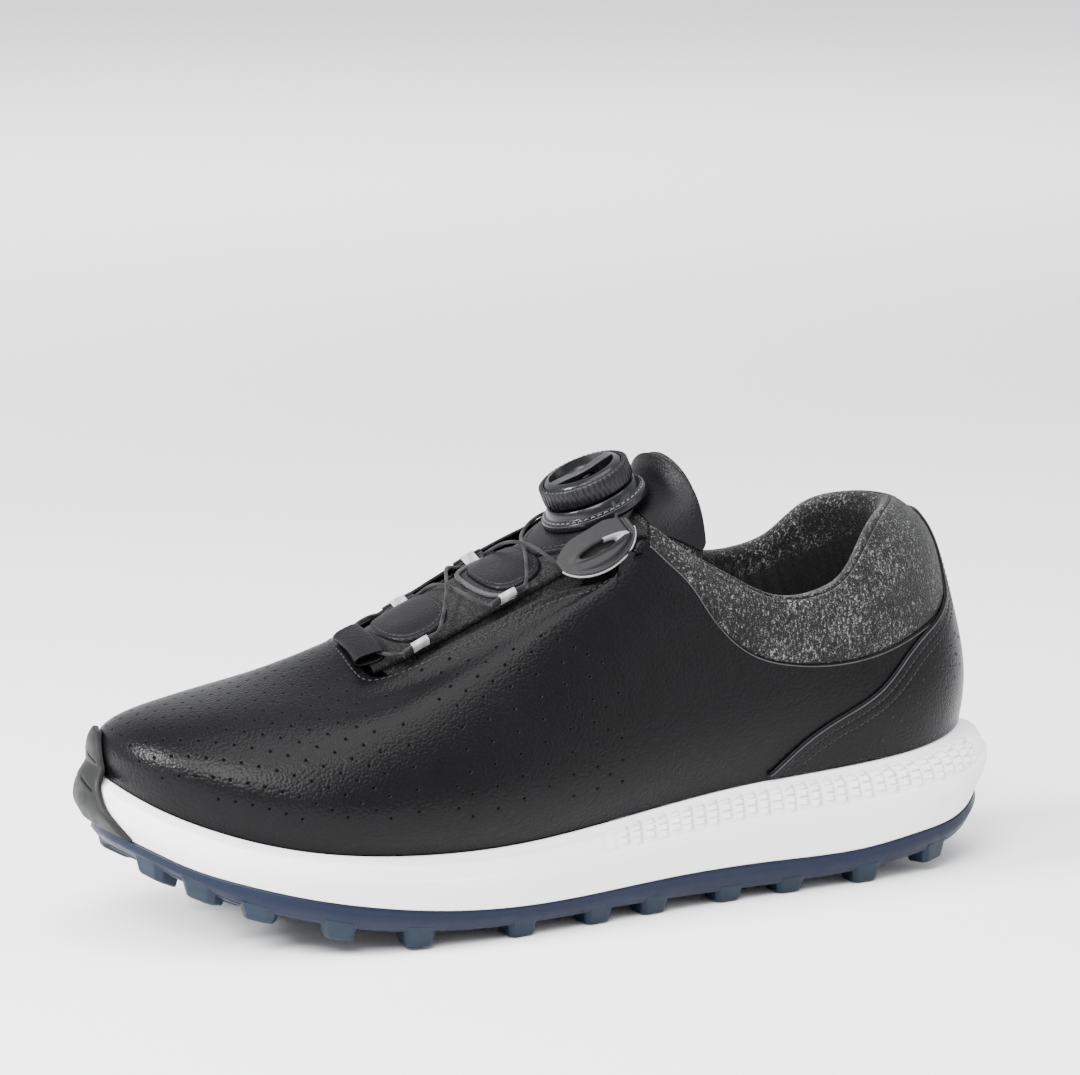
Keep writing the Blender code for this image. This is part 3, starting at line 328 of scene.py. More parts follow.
class Finish:
    """A material being built: short ways to add the nodes that the finishes share."""

    def __init__(self, name, roughness=.5, **sockets):
        self.material = bpy.data.materials.new(name)
        self.material.use_nodes = True
        self.tree = self.material.node_tree
        self.shader = self.tree.nodes["Principled BSDF"]
        self.shader.inputs["Roughness"].default_value = roughness
        for socket, value in sockets.items():
            self.shader.inputs[socket.replace("_", " ")].default_value = value
        self.place = self.tree.nodes.new("ShaderNodeTexCoord").outputs["Object"]

    def node(self, kind, links=(), **values):
        new = self.tree.nodes.new("ShaderNode" + kind)
        for key, value in values.items():
            setattr(new, key, value)
        for socket, source in dict(links).items():
            if isinstance(source, bpy.types.NodeSocket):
                self.tree.links.new(source, new.inputs[socket])
            else:
                new.inputs[socket].default_value = source
        return new

    def stretched(self, scale, turn=(0, 0, 0)):
        """Object coordinates scaled differently along each axis."""
        links = {"Vector": self.place, "Scale": scale, "Rotation": turn}
        return self.node("Mapping", links).outputs["Vector"]

    def noise(self, scale, detail=2.0, rough=.5, place=None):
        links = {"Vector": place or self.place, "Scale": scale, "Detail": detail, "Roughness": rough}
        return self.node("TexNoise", links).outputs["Fac"]

    def cells(self, scale, feature="F1", place=None):
        links = {"Vector": place or self.place, "Scale": scale}
        return self.node("TexVoronoi", links, feature=feature).outputs["Distance"]

    def ramp(self, value, stops):
        """Colour ramp through (position, grey or colour) stops."""
        new = self.node("ValToRGB", {"Fac": value})
        points = new.color_ramp.elements
        while len(points) < len(stops):
            points.new(1.0)
        for point, (position, colour) in zip(points, stops):
            point.position = position
            point.color = (*colour, 1) if isinstance(colour, tuple) else (colour, colour, colour, 1)
        return new.outputs["Color"]

    def mix(self, share, one, two):
        new = self.node("Mix", data_type="RGBA")
        for socket, source in ((0, share), (6, one), (7, two)):
            if isinstance(source, bpy.types.NodeSocket):
                self.tree.links.new(source, new.inputs[socket])
            else:
                new.inputs[socket].default_value = source if socket == 0 else (*source, 1)
        return new.outputs[2]

    def math(self, kind, one, two):
        return self.node("Math", {0: one, 1: two}, operation=kind).outputs[0]

    def sum(self, one, two):
        return self.math("ADD", one, two)

    def times(self, one, two):
        return self.math("MULTIPLY", one, two)

    def bump(self, height, strength, depth_mm, under=None):
        links = {"Height": height, "Strength": strength, "Distance": depth_mm * MM}
        if under is not None:
            links["Normal"] = under
        return self.node("Bump", links).outputs["Normal"]

    def end(self, colour=None, roughness=None, normal=None):
        for socket, source in (("Base Color", colour), ("Roughness", roughness), ("Normal", normal)):
            if isinstance(source, bpy.types.NodeSocket):
                self.tree.links.new(source, self.shader.inputs[socket])
            elif source is not None:
                value = (*source, 1) if socket == "Base Color" else source
                self.shader.inputs[socket].default_value = value
        return self.material


def leather_finish(name, dark, light, grain_mm, gloss=.37):
    """Black full-grain leather: pebbled grain with painted shade in its crevices, faint creasing, rubbed high
    spots.
    """
    f = Finish(name, gloss, Specular_IOR_Level=.115)
    pebbles = f.cells(1000 / grain_mm, "SMOOTH_F1")
    fine = f.noise(2600, 3, .6)
    broad = f.noise(45, 4, .55)
    rubbed = f.ramp(f.noise(160, 3), [(.35, 0.0), (.75, 1.0)])
    colour = f.mix(f.times(f.times(rubbed, .5), broad), dark, light)
    # Painted shade: the grain's crevices between the pebbles are painted darker.
    colour = f.mix(f.ramp(pebbles, [(.15, 0.0), (.7, .35)]), colour, tuple(c * .45 for c in dark))
    rough = f.ramp(f.times(broad, f.times(fine, .6)), [(.1, gloss - .07), (.5, gloss + .12)])
    normal = f.bump(fine, .4, .06)
    normal = f.bump(f.ramp(pebbles, [(0.0, 1.0), (.8, 0.0)]), .7, .17, normal)
    return f.end(colour, rough, normal)


def knit_finish(name, stops, speck_mm, sheen=.25):
    """Melange knit: dark and pale fibres mixed, with a fuzzy, looped surface."""
    f = Finish(name, .95, Sheen_Weight=sheen, Sheen_Roughness=.5, Specular_IOR_Level=.1)
    specks = f.noise(1000 / speck_mm, 3, .75)
    long = f.noise(650 / speck_mm, 2, .6, f.stretched((1, 1, .45), (.5, .3, .8)))
    patches = f.noise(55, 2)
    value = f.sum(f.times(specks, .62), f.times(long, .38))
    value = f.sum(value, f.times(f.sum(patches, -.5), .18))
    colour = f.ramp(value, stops)
    loops = f.cells(1000 / speck_mm)
    normal = f.bump(loops, .7, .35)
    normal = f.bump(specks, .8, .4, normal)
    return f.end(colour, .95, normal)


def foam_finish(name, share):
    """White moulded midsole foam: faint pebble of the mould; the share scales its brightness, and below 1 it
    gives the darker copy used as painted shade.
    """
    f = Finish(name, .5, Subsurface_Weight=.08, Subsurface_Radius=(.004, .004, .004))
    mottle = f.noise(30, 3)
    pits = f.noise(1500, 2)
    dull, bright = (tuple(c * share for c in colour) for colour in ((.80, .80, .815), (.88, .88, .89)))
    normal = f.bump(pits, .25, .06)
    return f.end(f.mix(mottle, dull, bright), f.ramp(mottle, [(.3, .46), (.7, .6)]), normal)


def rubber_finish(name, low, high, roughness, speck=.08):
    """Moulded rubber with a fine matt texture and dust-pale high spots."""
    f = Finish(name, roughness, Specular_IOR_Level=.25)
    mottle = f.noise(70, 4, .6)
    fine = f.noise(1800, 3)
    colour = f.mix(mottle, low, high)
    normal = f.bump(fine, .35, speck)
    rough = f.ramp(f.noise(240, 2), [(.3, roughness - .06), (.7, roughness + .1)])
    return f.end(colour, rough, normal)


def plastic_finish(name, colour, roughness, coat=0.0, marks=.2):
    """Moulded plastic with faint handling marks."""
    f = Finish(name, roughness, Coat_Weight=coat, Coat_Roughness=.08, Specular_IOR_Level=.22)
    scuffs = f.noise(900, 3, .6, f.stretched((1, .25, 1), (0, 0, .5)))
    broad = f.noise(80, 3)
    tint = f.mix(broad, tuple(c * .8 for c in colour), tuple(c * 1.35 for c in colour))
    rough = f.ramp(scuffs, [(.35, roughness), (.75, roughness + .16)])
    normal = f.bump(scuffs, marks, .02)
    return f.end(tint, rough, normal)


def webbing_finish(name, dark, light, pitch_mm, turn=(0, 0, .1)):
    """Woven tape: ribs across the weave with threads between."""
    f = Finish(name, .8, Sheen_Weight=.08, Specular_IOR_Level=.2)
    place = f.stretched((1, 1, 1), turn)
    links = {"Vector": place, "Scale": 1000 / pitch_mm / 20, "Distortion": 1.0, "Detail": 2.0}
    ribs = f.node("TexWave", links, wave_type="BANDS", bands_direction="X").outputs["Fac"]
    threads = f.noise(1800, 2)
    colour = f.mix(f.times(ribs, threads), dark, light)
    normal = f.bump(threads, .5, .12, f.bump(ribs, .7, .2))
    return f.end(colour, .8, normal)


def make_finishes():
    knit_stops = [(.40, .002), (.47, .004), (.53, .010), (.575, .052), (.64, .19)]
    felt_stops = [(.36, .002), (.46, .004), (.54, .009), (.64, .026), (.76, .06)]
    dark_stops = [(.35, .003), (.50, .007), (.65, .016), (.80, .03)]
    return {
        "leather": leather_finish("black leather", (.0020, .0018, .0022), (.0048, .0044, .0052), .8),
        # Smooth leather for the tongue's pieces: smoother than the black leather, and painted lighter as
        # painted light from above on these top-facing parts.
        "smooth_leather_painted_lighter": leather_finish("smooth black leather", (.0046, .0043, .0050),
                                         (.0080, .0076, .0085), .6, .46),
        # Pale grey leather for the thin lines along the turned edges and for the piping.
        "edge": leather_finish("pale leather edge", (.045, .043, .046), (.10, .097, .10), .5, .5),
        # Near-black floors of the holes and slot windows: painted shade inside each opening, over the black
        # lining that the perforations show.
        "hole": Finish("perforation").end((.0015, .0015, .0015), .9),
        "knit": knit_finish("grey melange knit", knit_stops, .54, .12),
        "felt": knit_finish("black felted mesh", felt_stops, .5, .06),
        "lining": knit_finish("black lining", dark_stops, .5, .1),
        "foam": foam_finish("white moulded foam", 1.0),
        # A darker copy of the foam, laid on the relief's recesses as painted shade.
        "foam_shade": foam_finish("foam in the relief's recesses", .64),
        "rubber": rubber_finish("blue rubber", (.0006, .0030, .0140), (.0010, .0048, .0210), .46),
        "lug": rubber_finish("blue lug rubber", (.0022, .0080, .0180), (.0045, .0125, .0260), .48),
        "bumper": rubber_finish("dark grey rubber", (.0032, .0034, .0034), (.0060, .0062, .0061), .54),
        "plastic": plastic_finish("gloss black plastic", (.0035, .0035, .004), .2, .12),
        "matt_plastic": plastic_finish("matt black plastic", (.006, .006, .0065), .36, 0.0, .3),
        # Grey for the moulded edge by the slot, and a painted highlight on the lateral wing's rim.
        "grey_edge_and_rim_highlight": plastic_finish("grey moulded edge and painted rim highlight", (.20, .20, .205), .38),
        "grip": rubber_finish("black grip rubber", (.003, .003, .0035), (.006, .006, .0065), .34, .04),
        "thread": knit_finish("black thread", [(.3, .006), (.5, .016), (.7, .04)], .25, .1),
        "pale_thread": knit_finish("grey thread", [(.3, .05), (.5, .11), (.7, .2)], .25, .2),
        "webbing": webbing_finish("black webbing", (.004, .004, .0045), (.020, .020, .021), 1.0),
        "grey_webbing": webbing_finish("grey webbing", (.22, .22, .225), (.42, .42, .43), .55),
        "cable": webbing_finish("lace cable", (.004, .004, .0045), (.026, .026, .027), .6, (.4, .5, .3)),
        "steel": Finish("steel", .3, Metallic=1.0).end((.5, .5, .51)),
        "board": knit_finish("fibreboard", [(.3, (.22, .19, .15)), (.7, (.42, .37, .30))], .6, 0.0),
    }


# ---- mesh helpers

# Each piece with the body it rides on, or two bodies and two points; a piece given two bodies is left
# unparented where it stands.
RIDES = []
STITCH_SIDES = 6


def in_frame(points):
    """Shape millimetres to row-frame metres."""
    return (np.asarray(points, float) + CENTRING) * MM


def show(name, data):
    """A new object in the scene."""
    thing = bpy.data.objects.new(name, data)
    bpy.context.scene.collection.objects.link(thing)
    return thing


def piece(name, points, faces, finish, body, slot, replaces=None, extra=()):
    """A smooth-shaded mesh from shape points, riding on a body.

    It replaces the CAD node of its own name if nothing else is given. Extra finishes fill the later
    material slots.
    """
    mesh = bpy.data.meshes.new(name)
    mesh.from_pydata(in_frame(points).tolist(), [], [tuple(int(k) for k in face) for face in faces])
    mesh.validate()
    thing = show(name, mesh)
    for key in (finish, *extra):
        mesh.materials.append(FINISHES[key])
    mesh.shade_smooth()
    RIDES.append((thing, body))
    if replaces is None:
        replaces = (name,) if name in frame["nodes"] else ()
    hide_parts(*replaces)
    return thing


def paint(thing, slots):
    """Give each face of a piece its material slot."""
    thing.data.polygons.foreach_set("material_index", np.asarray(slots, np.int32).reshape(-1))


def settle(thing):
    """Apply a piece's modifiers."""
    graph = bpy.context.evaluated_depsgraph_get()
    done = bpy.data.meshes.new_from_object(thing.evaluated_get(graph))
    old = thing.data
    thing.modifiers.clear()
    thing.data = done
    bpy.data.meshes.remove(old)
    done.name = thing.name


def refine(thing):
    """Subdivide a piece smoothly, once."""
    change = thing.modifiers.new("refine", "SUBSURF")
    change.levels = change.render_levels = 1
    settle(thing)


def bevel(thing, width_mm, segments, angle):
    """Round a piece's edges that are sharper than an angle."""
    change = thing.modifiers.new("bevel", "BEVEL")
    change.width = width_mm * MM
    change.segments = segments
    change.limit_method = "ANGLE"
    change.angle_limit = math.radians(angle)
    change.harden_normals = False
    settle(thing)
    thing.data.shade_smooth()
    thing.data.set_sharp_from_angle(angle=math.radians(55))
    return thing


def quads(rows, columns, closed=False):
    """Quads of a grid, as an array, with the first direction closed on itself or not."""
    i = np.arange(rows if closed else rows - 1)[:, None]
    j = np.arange(columns - 1)[None, :]
    after = (i + 1) % rows
    corners = (i * columns + j, i * columns + j + 1, after * columns + j + 1, after * columns + j)
    return np.stack([c + 0 * j for c in corners], -1).reshape(-1, 4)


def ring_faces(rings, sides, first=0):
    """Quads between rings of points that follow one another, with a face over each end."""
    faces = []
    for k in range(rings - 1):
        a, b = first + k * sides, first + (k + 1) * sides
        faces += [(a + j, a + (j + 1) % sides, b + (j + 1) % sides, b + j) for j in range(sides)]
    last = first + (rings - 1) * sides
    return faces + [tuple(range(first, first + sides))[::-1], tuple(range(last, last + sides))]


def normals_of(grid, closed=False):
    """Unit normals of a grid of points (rows, columns, 3)."""
    if closed:
        along = np.roll(grid, -1, axis=0) - np.roll(grid, 1, axis=0)
    else:
        along = np.gradient(grid, axis=0)
    across = np.gradient(grid, axis=1)
    return unit(np.cross(across, along))


def sheet(name, grid, finish, body, slot, closed=False, flip=False, **more):
    """A piece from a grid of points."""
    faces = quads(*grid.shape[:2], closed)
    if flip:
        faces = faces[:, ::-1]
    return piece(name, grid.reshape(-1, 3), faces, finish, body, slot, **more)


def slab(name, top, bottom, finish, body, slot, open_start=False, **more):
    """A piece between two grids of points, closed round their border or left open at its first row."""
    columns, rows = top.shape[:2]
    size = columns * rows
    border = [i * rows for i in range(columns)] + [(columns - 1) * rows + j for j in range(1, rows)]
    border += [i * rows + rows - 1 for i in range(columns - 2, -1, -1)]
    if not open_start:
        border += list(range(rows - 2, -1, -1))
    base = quads(columns, rows)
    faces = base[:, ::-1].tolist() + (base + size).tolist()
    faces += [(a, b, b + size, a + size) for a, b in zip(border, border[1:])]
    points = np.concatenate([top.reshape(-1, 3), bottom.reshape(-1, 3)])
    return piece(name, points, faces, finish, body, slot, **more)


def fill_across(points, faces, count, width, cross, height, flip=False):
    """Close the last ring of a closed grid with rows of points straight across the shoe."""
    rows = []
    for i in range(count // 2 + 1):
        first, last = i * width + width - 1, (count - i) % count * width + width - 1
        row = [first]
        if first != last:
            for k in range(1, cross):
                share = k / cross
                point = points[first] + (points[last] - points[first]) * share
                point[2] = height(point, share)
                row.append(len(points))
                points.append(point)
            row.append(last)
        rows.append(row)
    for one, two in zip(rows, rows[1:]):
        if len(one) == 1 or len(two) == 1:
            tip, wide = (one[0], two) if len(one) == 1 else (two[0], one)
            new = [(tip, wide[k], wide[k + 1]) for k in range(cross)]
        else:
            new = [(one[k], two[k], two[k + 1], one[k + 1]) for k in range(cross)]
        faces.extend((face[0], *face[:0:-1]) if flip else face for face in new)


def with_roll(grid, normals, thickness, closed=False, tail=3.0, ends=(False, True)):
    """Extend a grid past its last column (and before its first) by a rolled edge and a strip underneath."""
    def rolled(edge, before, normal):
        up = edge - before
        ahead = np.roll(edge, -1, axis=0) - np.roll(edge, 1, axis=0)
        tangent = unit(ahead if closed else np.gradient(edge, axis=0))
        up = unit(up - np.sum(up * tangent, -1, keepdims=True) * tangent)
        radius = thickness / 2
        parts = []
        for angle in np.radians([28, 56, 90, 124, 152, 180]):
            parts.append(edge + radius * math.sin(angle) * up - radius * (1 - math.cos(angle)) * normal)
        parts.append(edge - tail * up - thickness * normal)
        return np.stack(parts, 1)

    if ends[1]:
        grid = np.concatenate([grid, rolled(grid[:, -1], grid[:, -2], normals[:, -1])], 1)
    if ends[0]:
        grid = np.concatenate([rolled(grid[:, 0], grid[:, 1], normals[:, 0])[:, ::-1], grid], 1)
    return grid


def slide(u, v, step, parts=6):
    """Move places (u, v) on the upper by a step in millimetres, given as vectors lying on it."""
    step = np.asarray(step, float) / parts
    for _ in range(parts):
        along, up = slopes(u, v, .0012)
        aa, ab, bb = ((x * y).sum(-1) for x, y in ((along, along), (along, up), (up, up)))
        ra, rb = (along * step).sum(-1), (up * step).sum(-1)
        det = aa * bb - ab * ab
        u = u + (ra * bb - rb * ab) / det
        v = v + (rb * aa - ra * ab) / det
    return u, v


def beside(u, v, distance):
    """The line (u, v) on the upper moved sideways by a distance, positive to the left of its run."""
    line = upper_point(u, v)
    tangent = unit(np.gradient(line, axis=0))
    return slide(u, v, distance * np.cross(upper_normal(u, v), tangent))


def stitch_parts(line, normals, pitch, length, radius, sunk=.12):
    """Points and faces of a row of stitches lying along a line on a surface."""
    both, run = np.concatenate([line, normals], 1), length_along(line)
    places = np.arange(pitch / 2, run[-1] - length / 2, pitch)

    def at(place):
        return np.stack([np.interp(place, run, both[:, k]) for k in range(6)], -1)

    here = at(places)
    tangent, normal = unit(at(places + .4)[:, :3] - here[:, :3] + 1e-9), unit(here[:, 3:])
    side = np.cross(normal, tangent)
    stations = np.array([-1, -.86, -.4, 0, .4, .86, 1])
    swell = np.sqrt(np.maximum(0, 1 - stations**4)) + .05
    points, faces = [], []
    for k in range(len(places)):
        faces += ring_faces(len(stations), STITCH_SIDES, len(points))
        for a, w in zip(stations, swell):
            lift = radius * (1 - .9 * a * a) - sunk
            for angle in turns_of(STITCH_SIDES):
                points.append(here[k, :3] + tangent[k] * a * length / 2
                              + side[k] * radius * w * math.cos(angle)
                              + normal[k] * (lift + radius * .7 * w * math.sin(angle)))
    return points, faces


def sewing(name, rows, finish, body, slot, **more):
    """One piece from several rows of stitches, each (line, normals)."""
    points, faces = [], []
    for line, normals in rows:
        new_points, new_faces = stitch_parts(line, normals, **more)
        faces += [tuple(len(points) + k for k in face) for face in new_faces]
        points += new_points
    return piece(name, points, faces, finish, body, slot)


def tube_parts(line, radius, sides):
    """Points and faces of a round bar along a line."""
    tangent = unit(np.gradient(line, axis=0))
    side = unit(np.cross(tangent[0], (.3, .2, .93)))
    points = []
    for k, point in enumerate(line):
        side = unit(side - np.dot(side, tangent[k]) * tangent[k])
        up = np.cross(tangent[k], side)
        points += [point + radius * (math.cos(angle) * side + math.sin(angle) * up)
                   for angle in turns_of(sides)]
    return points, ring_faces(len(line), sides)


def bar(name, line, radius, finish, body, slot, sides=8, **more):
    """A piece that is a round bar along a line."""
    points, faces = tube_parts(line, radius, sides)
    return piece(name, points, faces, finish, body, slot, **more)


# ---- upper

UPPER_COLUMNS = 520
UPPER_ROWS = 62
# Radius and depth of the rings that shape each perforation, from its worn lip to its floor.
HOLE_PROFILE = [(.88, 0), (.64, .02), (.55, .13), (.51, .45), (.47, 1.0)]
# How many of the rings are still leather, and the depth of the floor's middle.
HOLE_LIP = 3
HOLE_DEPTH = 1.15
# Corners round the four grid faces that each perforation takes the place of.
HOLE_LOOP = [(-1, -1), (0, -1), (1, -1), (1, 0), (1, 1), (0, 1), (-1, 1), (-1, 0)]
HOLE_PITCH = 6.7
ROW_PITCH = 4.4
HOLE_CLEARANCE = 4.5


def vamp_holes():
    """Places (u, v) of the perforations: staggered rows across the vamp and down its sides."""
    centre_v = np.linspace(.30, .985, 400)
    run = length_along(upper_point(.5 + 0 * centre_v, centre_v))
    starts = np.arange(2, run[-1] - 2, ROW_PITCH)
    staggered = np.where(np.arange(len(starts)) % 2 == 0, 0.0, HOLE_PITCH / 2)
    kept = []
    for side in (1, -1):
        u, v = 0 * starts + .5, np.interp(starts, run, centre_v)
        for k in range(13):
            move = staggered if k == 0 else 0 * staggered + HOLE_PITCH
            u, v = slide(u, v, unit(np.cross(upper_normal(u, v), (1.0, 0, 0))) * side * move[:, None], 8)
            good = (.15 < v) & (v < .985) & (.27 < u) & (u < .73)
            if k == 0 and side == -1:
                good &= staggered != 0
            kept += list(zip(u[good], v[good]))
    return kept


def side_holes():
    """Perforations beside the throat: rows across the shoe that start below the throat's edge."""
    kept = []
    for first, last in ((.405, .283), (.595, .703)):
        throat = np.linspace(first, last, 200)
        x = upper_point(throat, 0 * throat + 1)[:, 0]
        starts = np.arange(-58, 11, ROW_PITCH)
        starts = starts[(starts > x.min()) & (starts < x.max())]
        u, v = np.interp(starts, x, throat), 1.0 + 0 * starts
        highest = .96 - .55 * clamp((starts + 45) / 55)
        for k in range(12):
            down = np.cross(upper_normal(u, v), (1.0, 0, 0))
            down = unit(down) * np.where(down[:, 2:] < 0, 1, -1)
            move = 4.5 + HOLE_PITCH / 2 * (np.arange(len(starts)) % 2) if k == 0 else HOLE_PITCH + 0 * starts
            u, v = slide(u, v, down * move[:, None], 8)
            good = (v > .15) & (v < highest) & (np.abs(from_heel(u)) < .49)
            kept += list(zip(u[good], v[good]))
            v = np.clip(v, .10, 1)
    return kept


def spread(spots):
    """Drop the places that come too close to one kept before."""
    kept, points = [], np.empty((0, 3))
    for u, v in spots:
        point = upper_point(u, v)
        if not len(points) or np.min(np.linalg.norm(points - point, axis=1)) >= HOLE_CLEARANCE:
            kept.append((u, v))
            points = np.vstack([points, point])
    return kept


def perforated(u, v, spots):
    """Points, leather faces and hole faces of a closed grid of places (u, v) with a hole at each spot."""
    columns, rows = u.shape
    taken = np.zeros((columns, rows), bool)
    centres = []
    for hole_u, hole_v in spots:
        i = int(round((hole_u - u[0, 0]) / (u[1, 0] - u[0, 0]))) % columns
        j = int(np.argmin(np.abs(v[i] - hole_v)))
        here = np.s_[i - 1:i + 2, j - 1:j + 2]
        if not 1 < i < columns - 2 or not 2 < j < rows - 4 or taken[here].any():
            continue
        du, dv = hole_u - u[i, j], hole_v - v[i, j]
        u[here] += du
        v[here] += dv
        taken[here] = True
        centres.append((i, j))
    grid, normals = skin(u, v, 0 * u), upper_normal(u, v)
    grown = with_roll(grid, normals, LEATHER, True)
    width = grown.shape[1]
    points = list(grown.reshape(-1, 3))
    faces = quads(columns, width, True).reshape(-1, width - 1, 4)
    gone = np.zeros(faces.shape[:2], bool)
    rings, floors = [], []
    for i, j in centres:
        gone[i - 1:i + 1, j - 1:j + 1] = True
        outer = before = [(i + a) * width + j + b for a, b in HOLE_LOOP]
        middle, normal = grid[i, j].copy(), normals[i, j]
        for step, (radius, sink) in enumerate(HOLE_PROFILE):
            ring = []
            for k in outer:
                away = points[k] - middle
                fall = -np.dot(away, normal) / np.dot(away, away) * radius**2
                away = unit(away - np.dot(away, normal) * normal)
                ring.append(len(points))
                points.append(middle + radius * away - (sink + fall) * normal)
            (rings if step < HOLE_LIP else floors).extend(
                (before[(k + 1) % 8], before[k], ring[k], ring[(k + 1) % 8]) for k in range(8))
            before = ring
        centre = i * width + j
        points[centre] = middle - HOLE_DEPTH * normal
        floors += [(before[(k + 1) % 8], before[k], centre) for k in range(8)]
    return np.array(points), faces[~gone].tolist() + rings, floors


def make_upper():
    """The leather upper with its perforations and folded top edge."""
    u = np.arange(UPPER_COLUMNS) / UPPER_COLUMNS
    v = FOOT + (seam_height(u) - FOOT)[:, None] * np.linspace(0, 1, UPPER_ROWS)
    u = np.repeat(u[:, None], UPPER_ROWS, 1)
    points, faces, floors = perforated(u, v, spread(vamp_holes() + side_holes()))
    upper = piece("upper", points, faces + floors, "leather", "shoe", "upper_leather", extra=("hole",))
    # The holes' floors take the near-black finish: painted shade inside each hole.
    slots = np.zeros(len(upper.data.polygons))
    slots[-len(floors):] = 1
    paint(upper, slots)
    refine(upper)


# The heel panel: reach round the heel as a share of a turn, thickness, and the distances of its rows
# of stitches and perforations from its edge.
OVERLAY_REACH = .181
OVERLAY_THICKNESS = 1.15
OVERLAY_SEAMS = (2.6, 5.4)
OVERLAY_HOLE_ROWS = (12, 17, 22)


def overlay_top(u):
    return profile(OVERLAY_EDGE, from_heel(u))


def overlay_row(inset):
    """The line at a distance inside the overlay's top edge, and its normals, for a row of stitches."""
    u = np.linspace(-.176, .176, 500)
    a, b = beside(u, overlay_top(u), inset)
    inside = (b > .03) & (np.abs(a) < .2)
    a, b = a[inside], b[inside]
    return skin(a, b, 0 * a - 1.05), upper_normal(a, b)


def make_heel_overlay():
    """The heel panel: folded edge, two rows of stitching and a few perforations."""
    columns, rows = 260, 56
    u = np.linspace(-OVERLAY_REACH, OVERLAY_REACH, columns)
    top = overlay_top(u)
    levels = np.linspace(0, 1, rows) ** .85
    v = LOW_EDGE + np.maximum(top - LOW_EDGE, .004)[:, None] * levels
    u = np.repeat(u[:, None], rows, 1)
    along, up = (np.linalg.norm(slope, axis=-1) for slope in slopes(u, v, .0015))
    slope = np.gradient(top, u[:, 0])[:, None]
    inset = (top[:, None] - v) * up * along / np.sqrt(along**2 + (up * slope) ** 2)
    relief = .10 * bell(inset, 1.1, .9) - .13 * bell(inset, OVERLAY_SEAMS[0], .35)
    relief += .05 * bell(inset, 4.0, .8) - .12 * bell(inset, OVERLAY_SEAMS[1], .35)
    normals = upper_normal(u, v)
    grid = upper_point(u, v) + (OVERLAY_THICKNESS + relief)[..., None] * normals
    grid = with_roll(grid, normals, OVERLAY_THICKNESS, tail=.6)
    sheet("heel_overlay", grid, "leather", "shoe", "upper_leather")
    line = skin(u[:, 0], np.maximum(top - .004, .02), -1.35)
    bar("heel_overlay_edge", line, .22, "edge", "shoe", "upper_leather")
    dots("heel_perforations", heel_spots(), 1.22)
    sewing("heel_overlay_stitching", [overlay_row(inset) for inset in OVERLAY_SEAMS], "thread", "shoe",
           "upper_leather", pitch=2.0, length=1.7, radius=.27)


def heel_spots():
    """Places of the heel panel's perforations, in rows below its edge."""
    spots = []
    for side in (-1, 1):
        for k, inset in enumerate(OVERLAY_HOLE_ROWS):
            u = side * (np.arange(.035, .125, .0115) + .005 * (k % 2))
            a, b = slide(u, overlay_top(u), np.array([(0, 0, -1.0)]) * inset, 10)
            spots += [(x, y) for x, y in zip(a, b) if .06 < y < overlay_top(np.array([x]))[0] - .08]
    return spots


def dots(name, spots, height):
    """Small dark discs that stand for perforations too shallow to cut: painted shade where each hole is, over
    the black leather below.
    """
    points, faces = [], []
    for u, v in spots:
        normal = upper_normal(u, v)
        side = unit(np.cross(normal, (0, 0, 1.0)))
        rise = np.cross(normal, side)
        middle = upper_point(u, v) + height * normal
        faces.append(tuple(range(len(points), len(points) + 10)))
        points += [middle + .5 * (math.cos(angle) * side + math.sin(angle) * rise) for angle in turns_of(10)]
    piece(name, points, faces, "hole", "shoe", "upper_leather")


def make_lining():
    """The knit lining, its edge tucked below the leather's and smoothed along its run."""
    columns, rows = 240, 30
    u = np.arange(columns) / columns
    stepped = np.round(u * 60) / 60
    a = from_heel(stepped)
    edge = np.where(a < .24, seam_height(stepped) - .015, np.where(a < .31, .88, .92))
    edge = np.convolve(np.concatenate([edge[-4:], edge, edge[:4]]), np.ones(9) / 9, "valid")
    v = LOW_EDGE + (edge - LOW_EDGE)[:, None] * np.linspace(0, 1, rows)
    u = np.repeat(u[:, None], rows, 1)
    wave = .12 * np.sin(u * 2 * math.pi * 34) * np.sin(v * math.pi) ** 2
    grid = skin(u, v, LINING_DEPTH + wave)
    grid = with_roll(grid, upper_normal(u, v), LINING_EDGE, closed=True, tail=2.5)
    sheet("lining", grid, "lining", "shoe", "lining_black", closed=True)


# ---- sole

SOLE_COLUMNS = 1200


def level(outline, height):
    """An outline's plan at a height, or at one height for each point."""
    return np.column_stack([outline[:, :2], height])


def offset_ring(ring, distance):
    """Move a ring's points outwards in plan, leaving their heights."""
    tangent = np.roll(ring, -1, axis=0) - np.roll(ring, 1, axis=0)
    away = np.zeros_like(ring)
    away[:, 0], away[:, 1] = -tangent[:, 1], tangent[:, 0]
    return ring + distance * unit(away)


# The sidewall's blocks: their pitch round the shoe, their pitch as a share of its height, and depth.
BLOCK_PITCH = 4.6
BLOCK_RISE = .105
BLOCK_HEIGHT = 1.6


def brick_relief(run, share, x):
    """Height of the sidewall's pattern of small stepped blocks, and the mask of its recesses, which are
    painted with shade.
    """
    column = run / BLOCK_PITCH
    # The blocks face backwards on both sides of the shoe.
    step = np.where(run < run.max() / 2, np.ceil(column) - column, column - np.floor(column))
    odd = np.floor(column) % 2
    row = (share - .06) / BLOCK_RISE + .5 * odd
    rise = row - np.floor(row)
    wedge = clamp(step / .74) * clamp((1 - step) / .2)
    drop = clamp(rise / .72) * clamp((1 - rise) / .22)
    block = BLOCK_HEIGHT * wedge**1.2 * (.35 + .65 * drop)
    fade = clamp((x + 8) / 26) * clamp((147 - x) / 12)
    band = clamp((share - .07) / .05) * clamp((.475 - share) / .04)
    # Painted shade: the recesses at each block's back and foot get the darker foam.
    recess_shade_mask = (fade * band > .6) & (((step > .74) & (rise > .20)) | ((rise > .78) & (step > .32)))
    return block * fade * band, recess_shade_mask


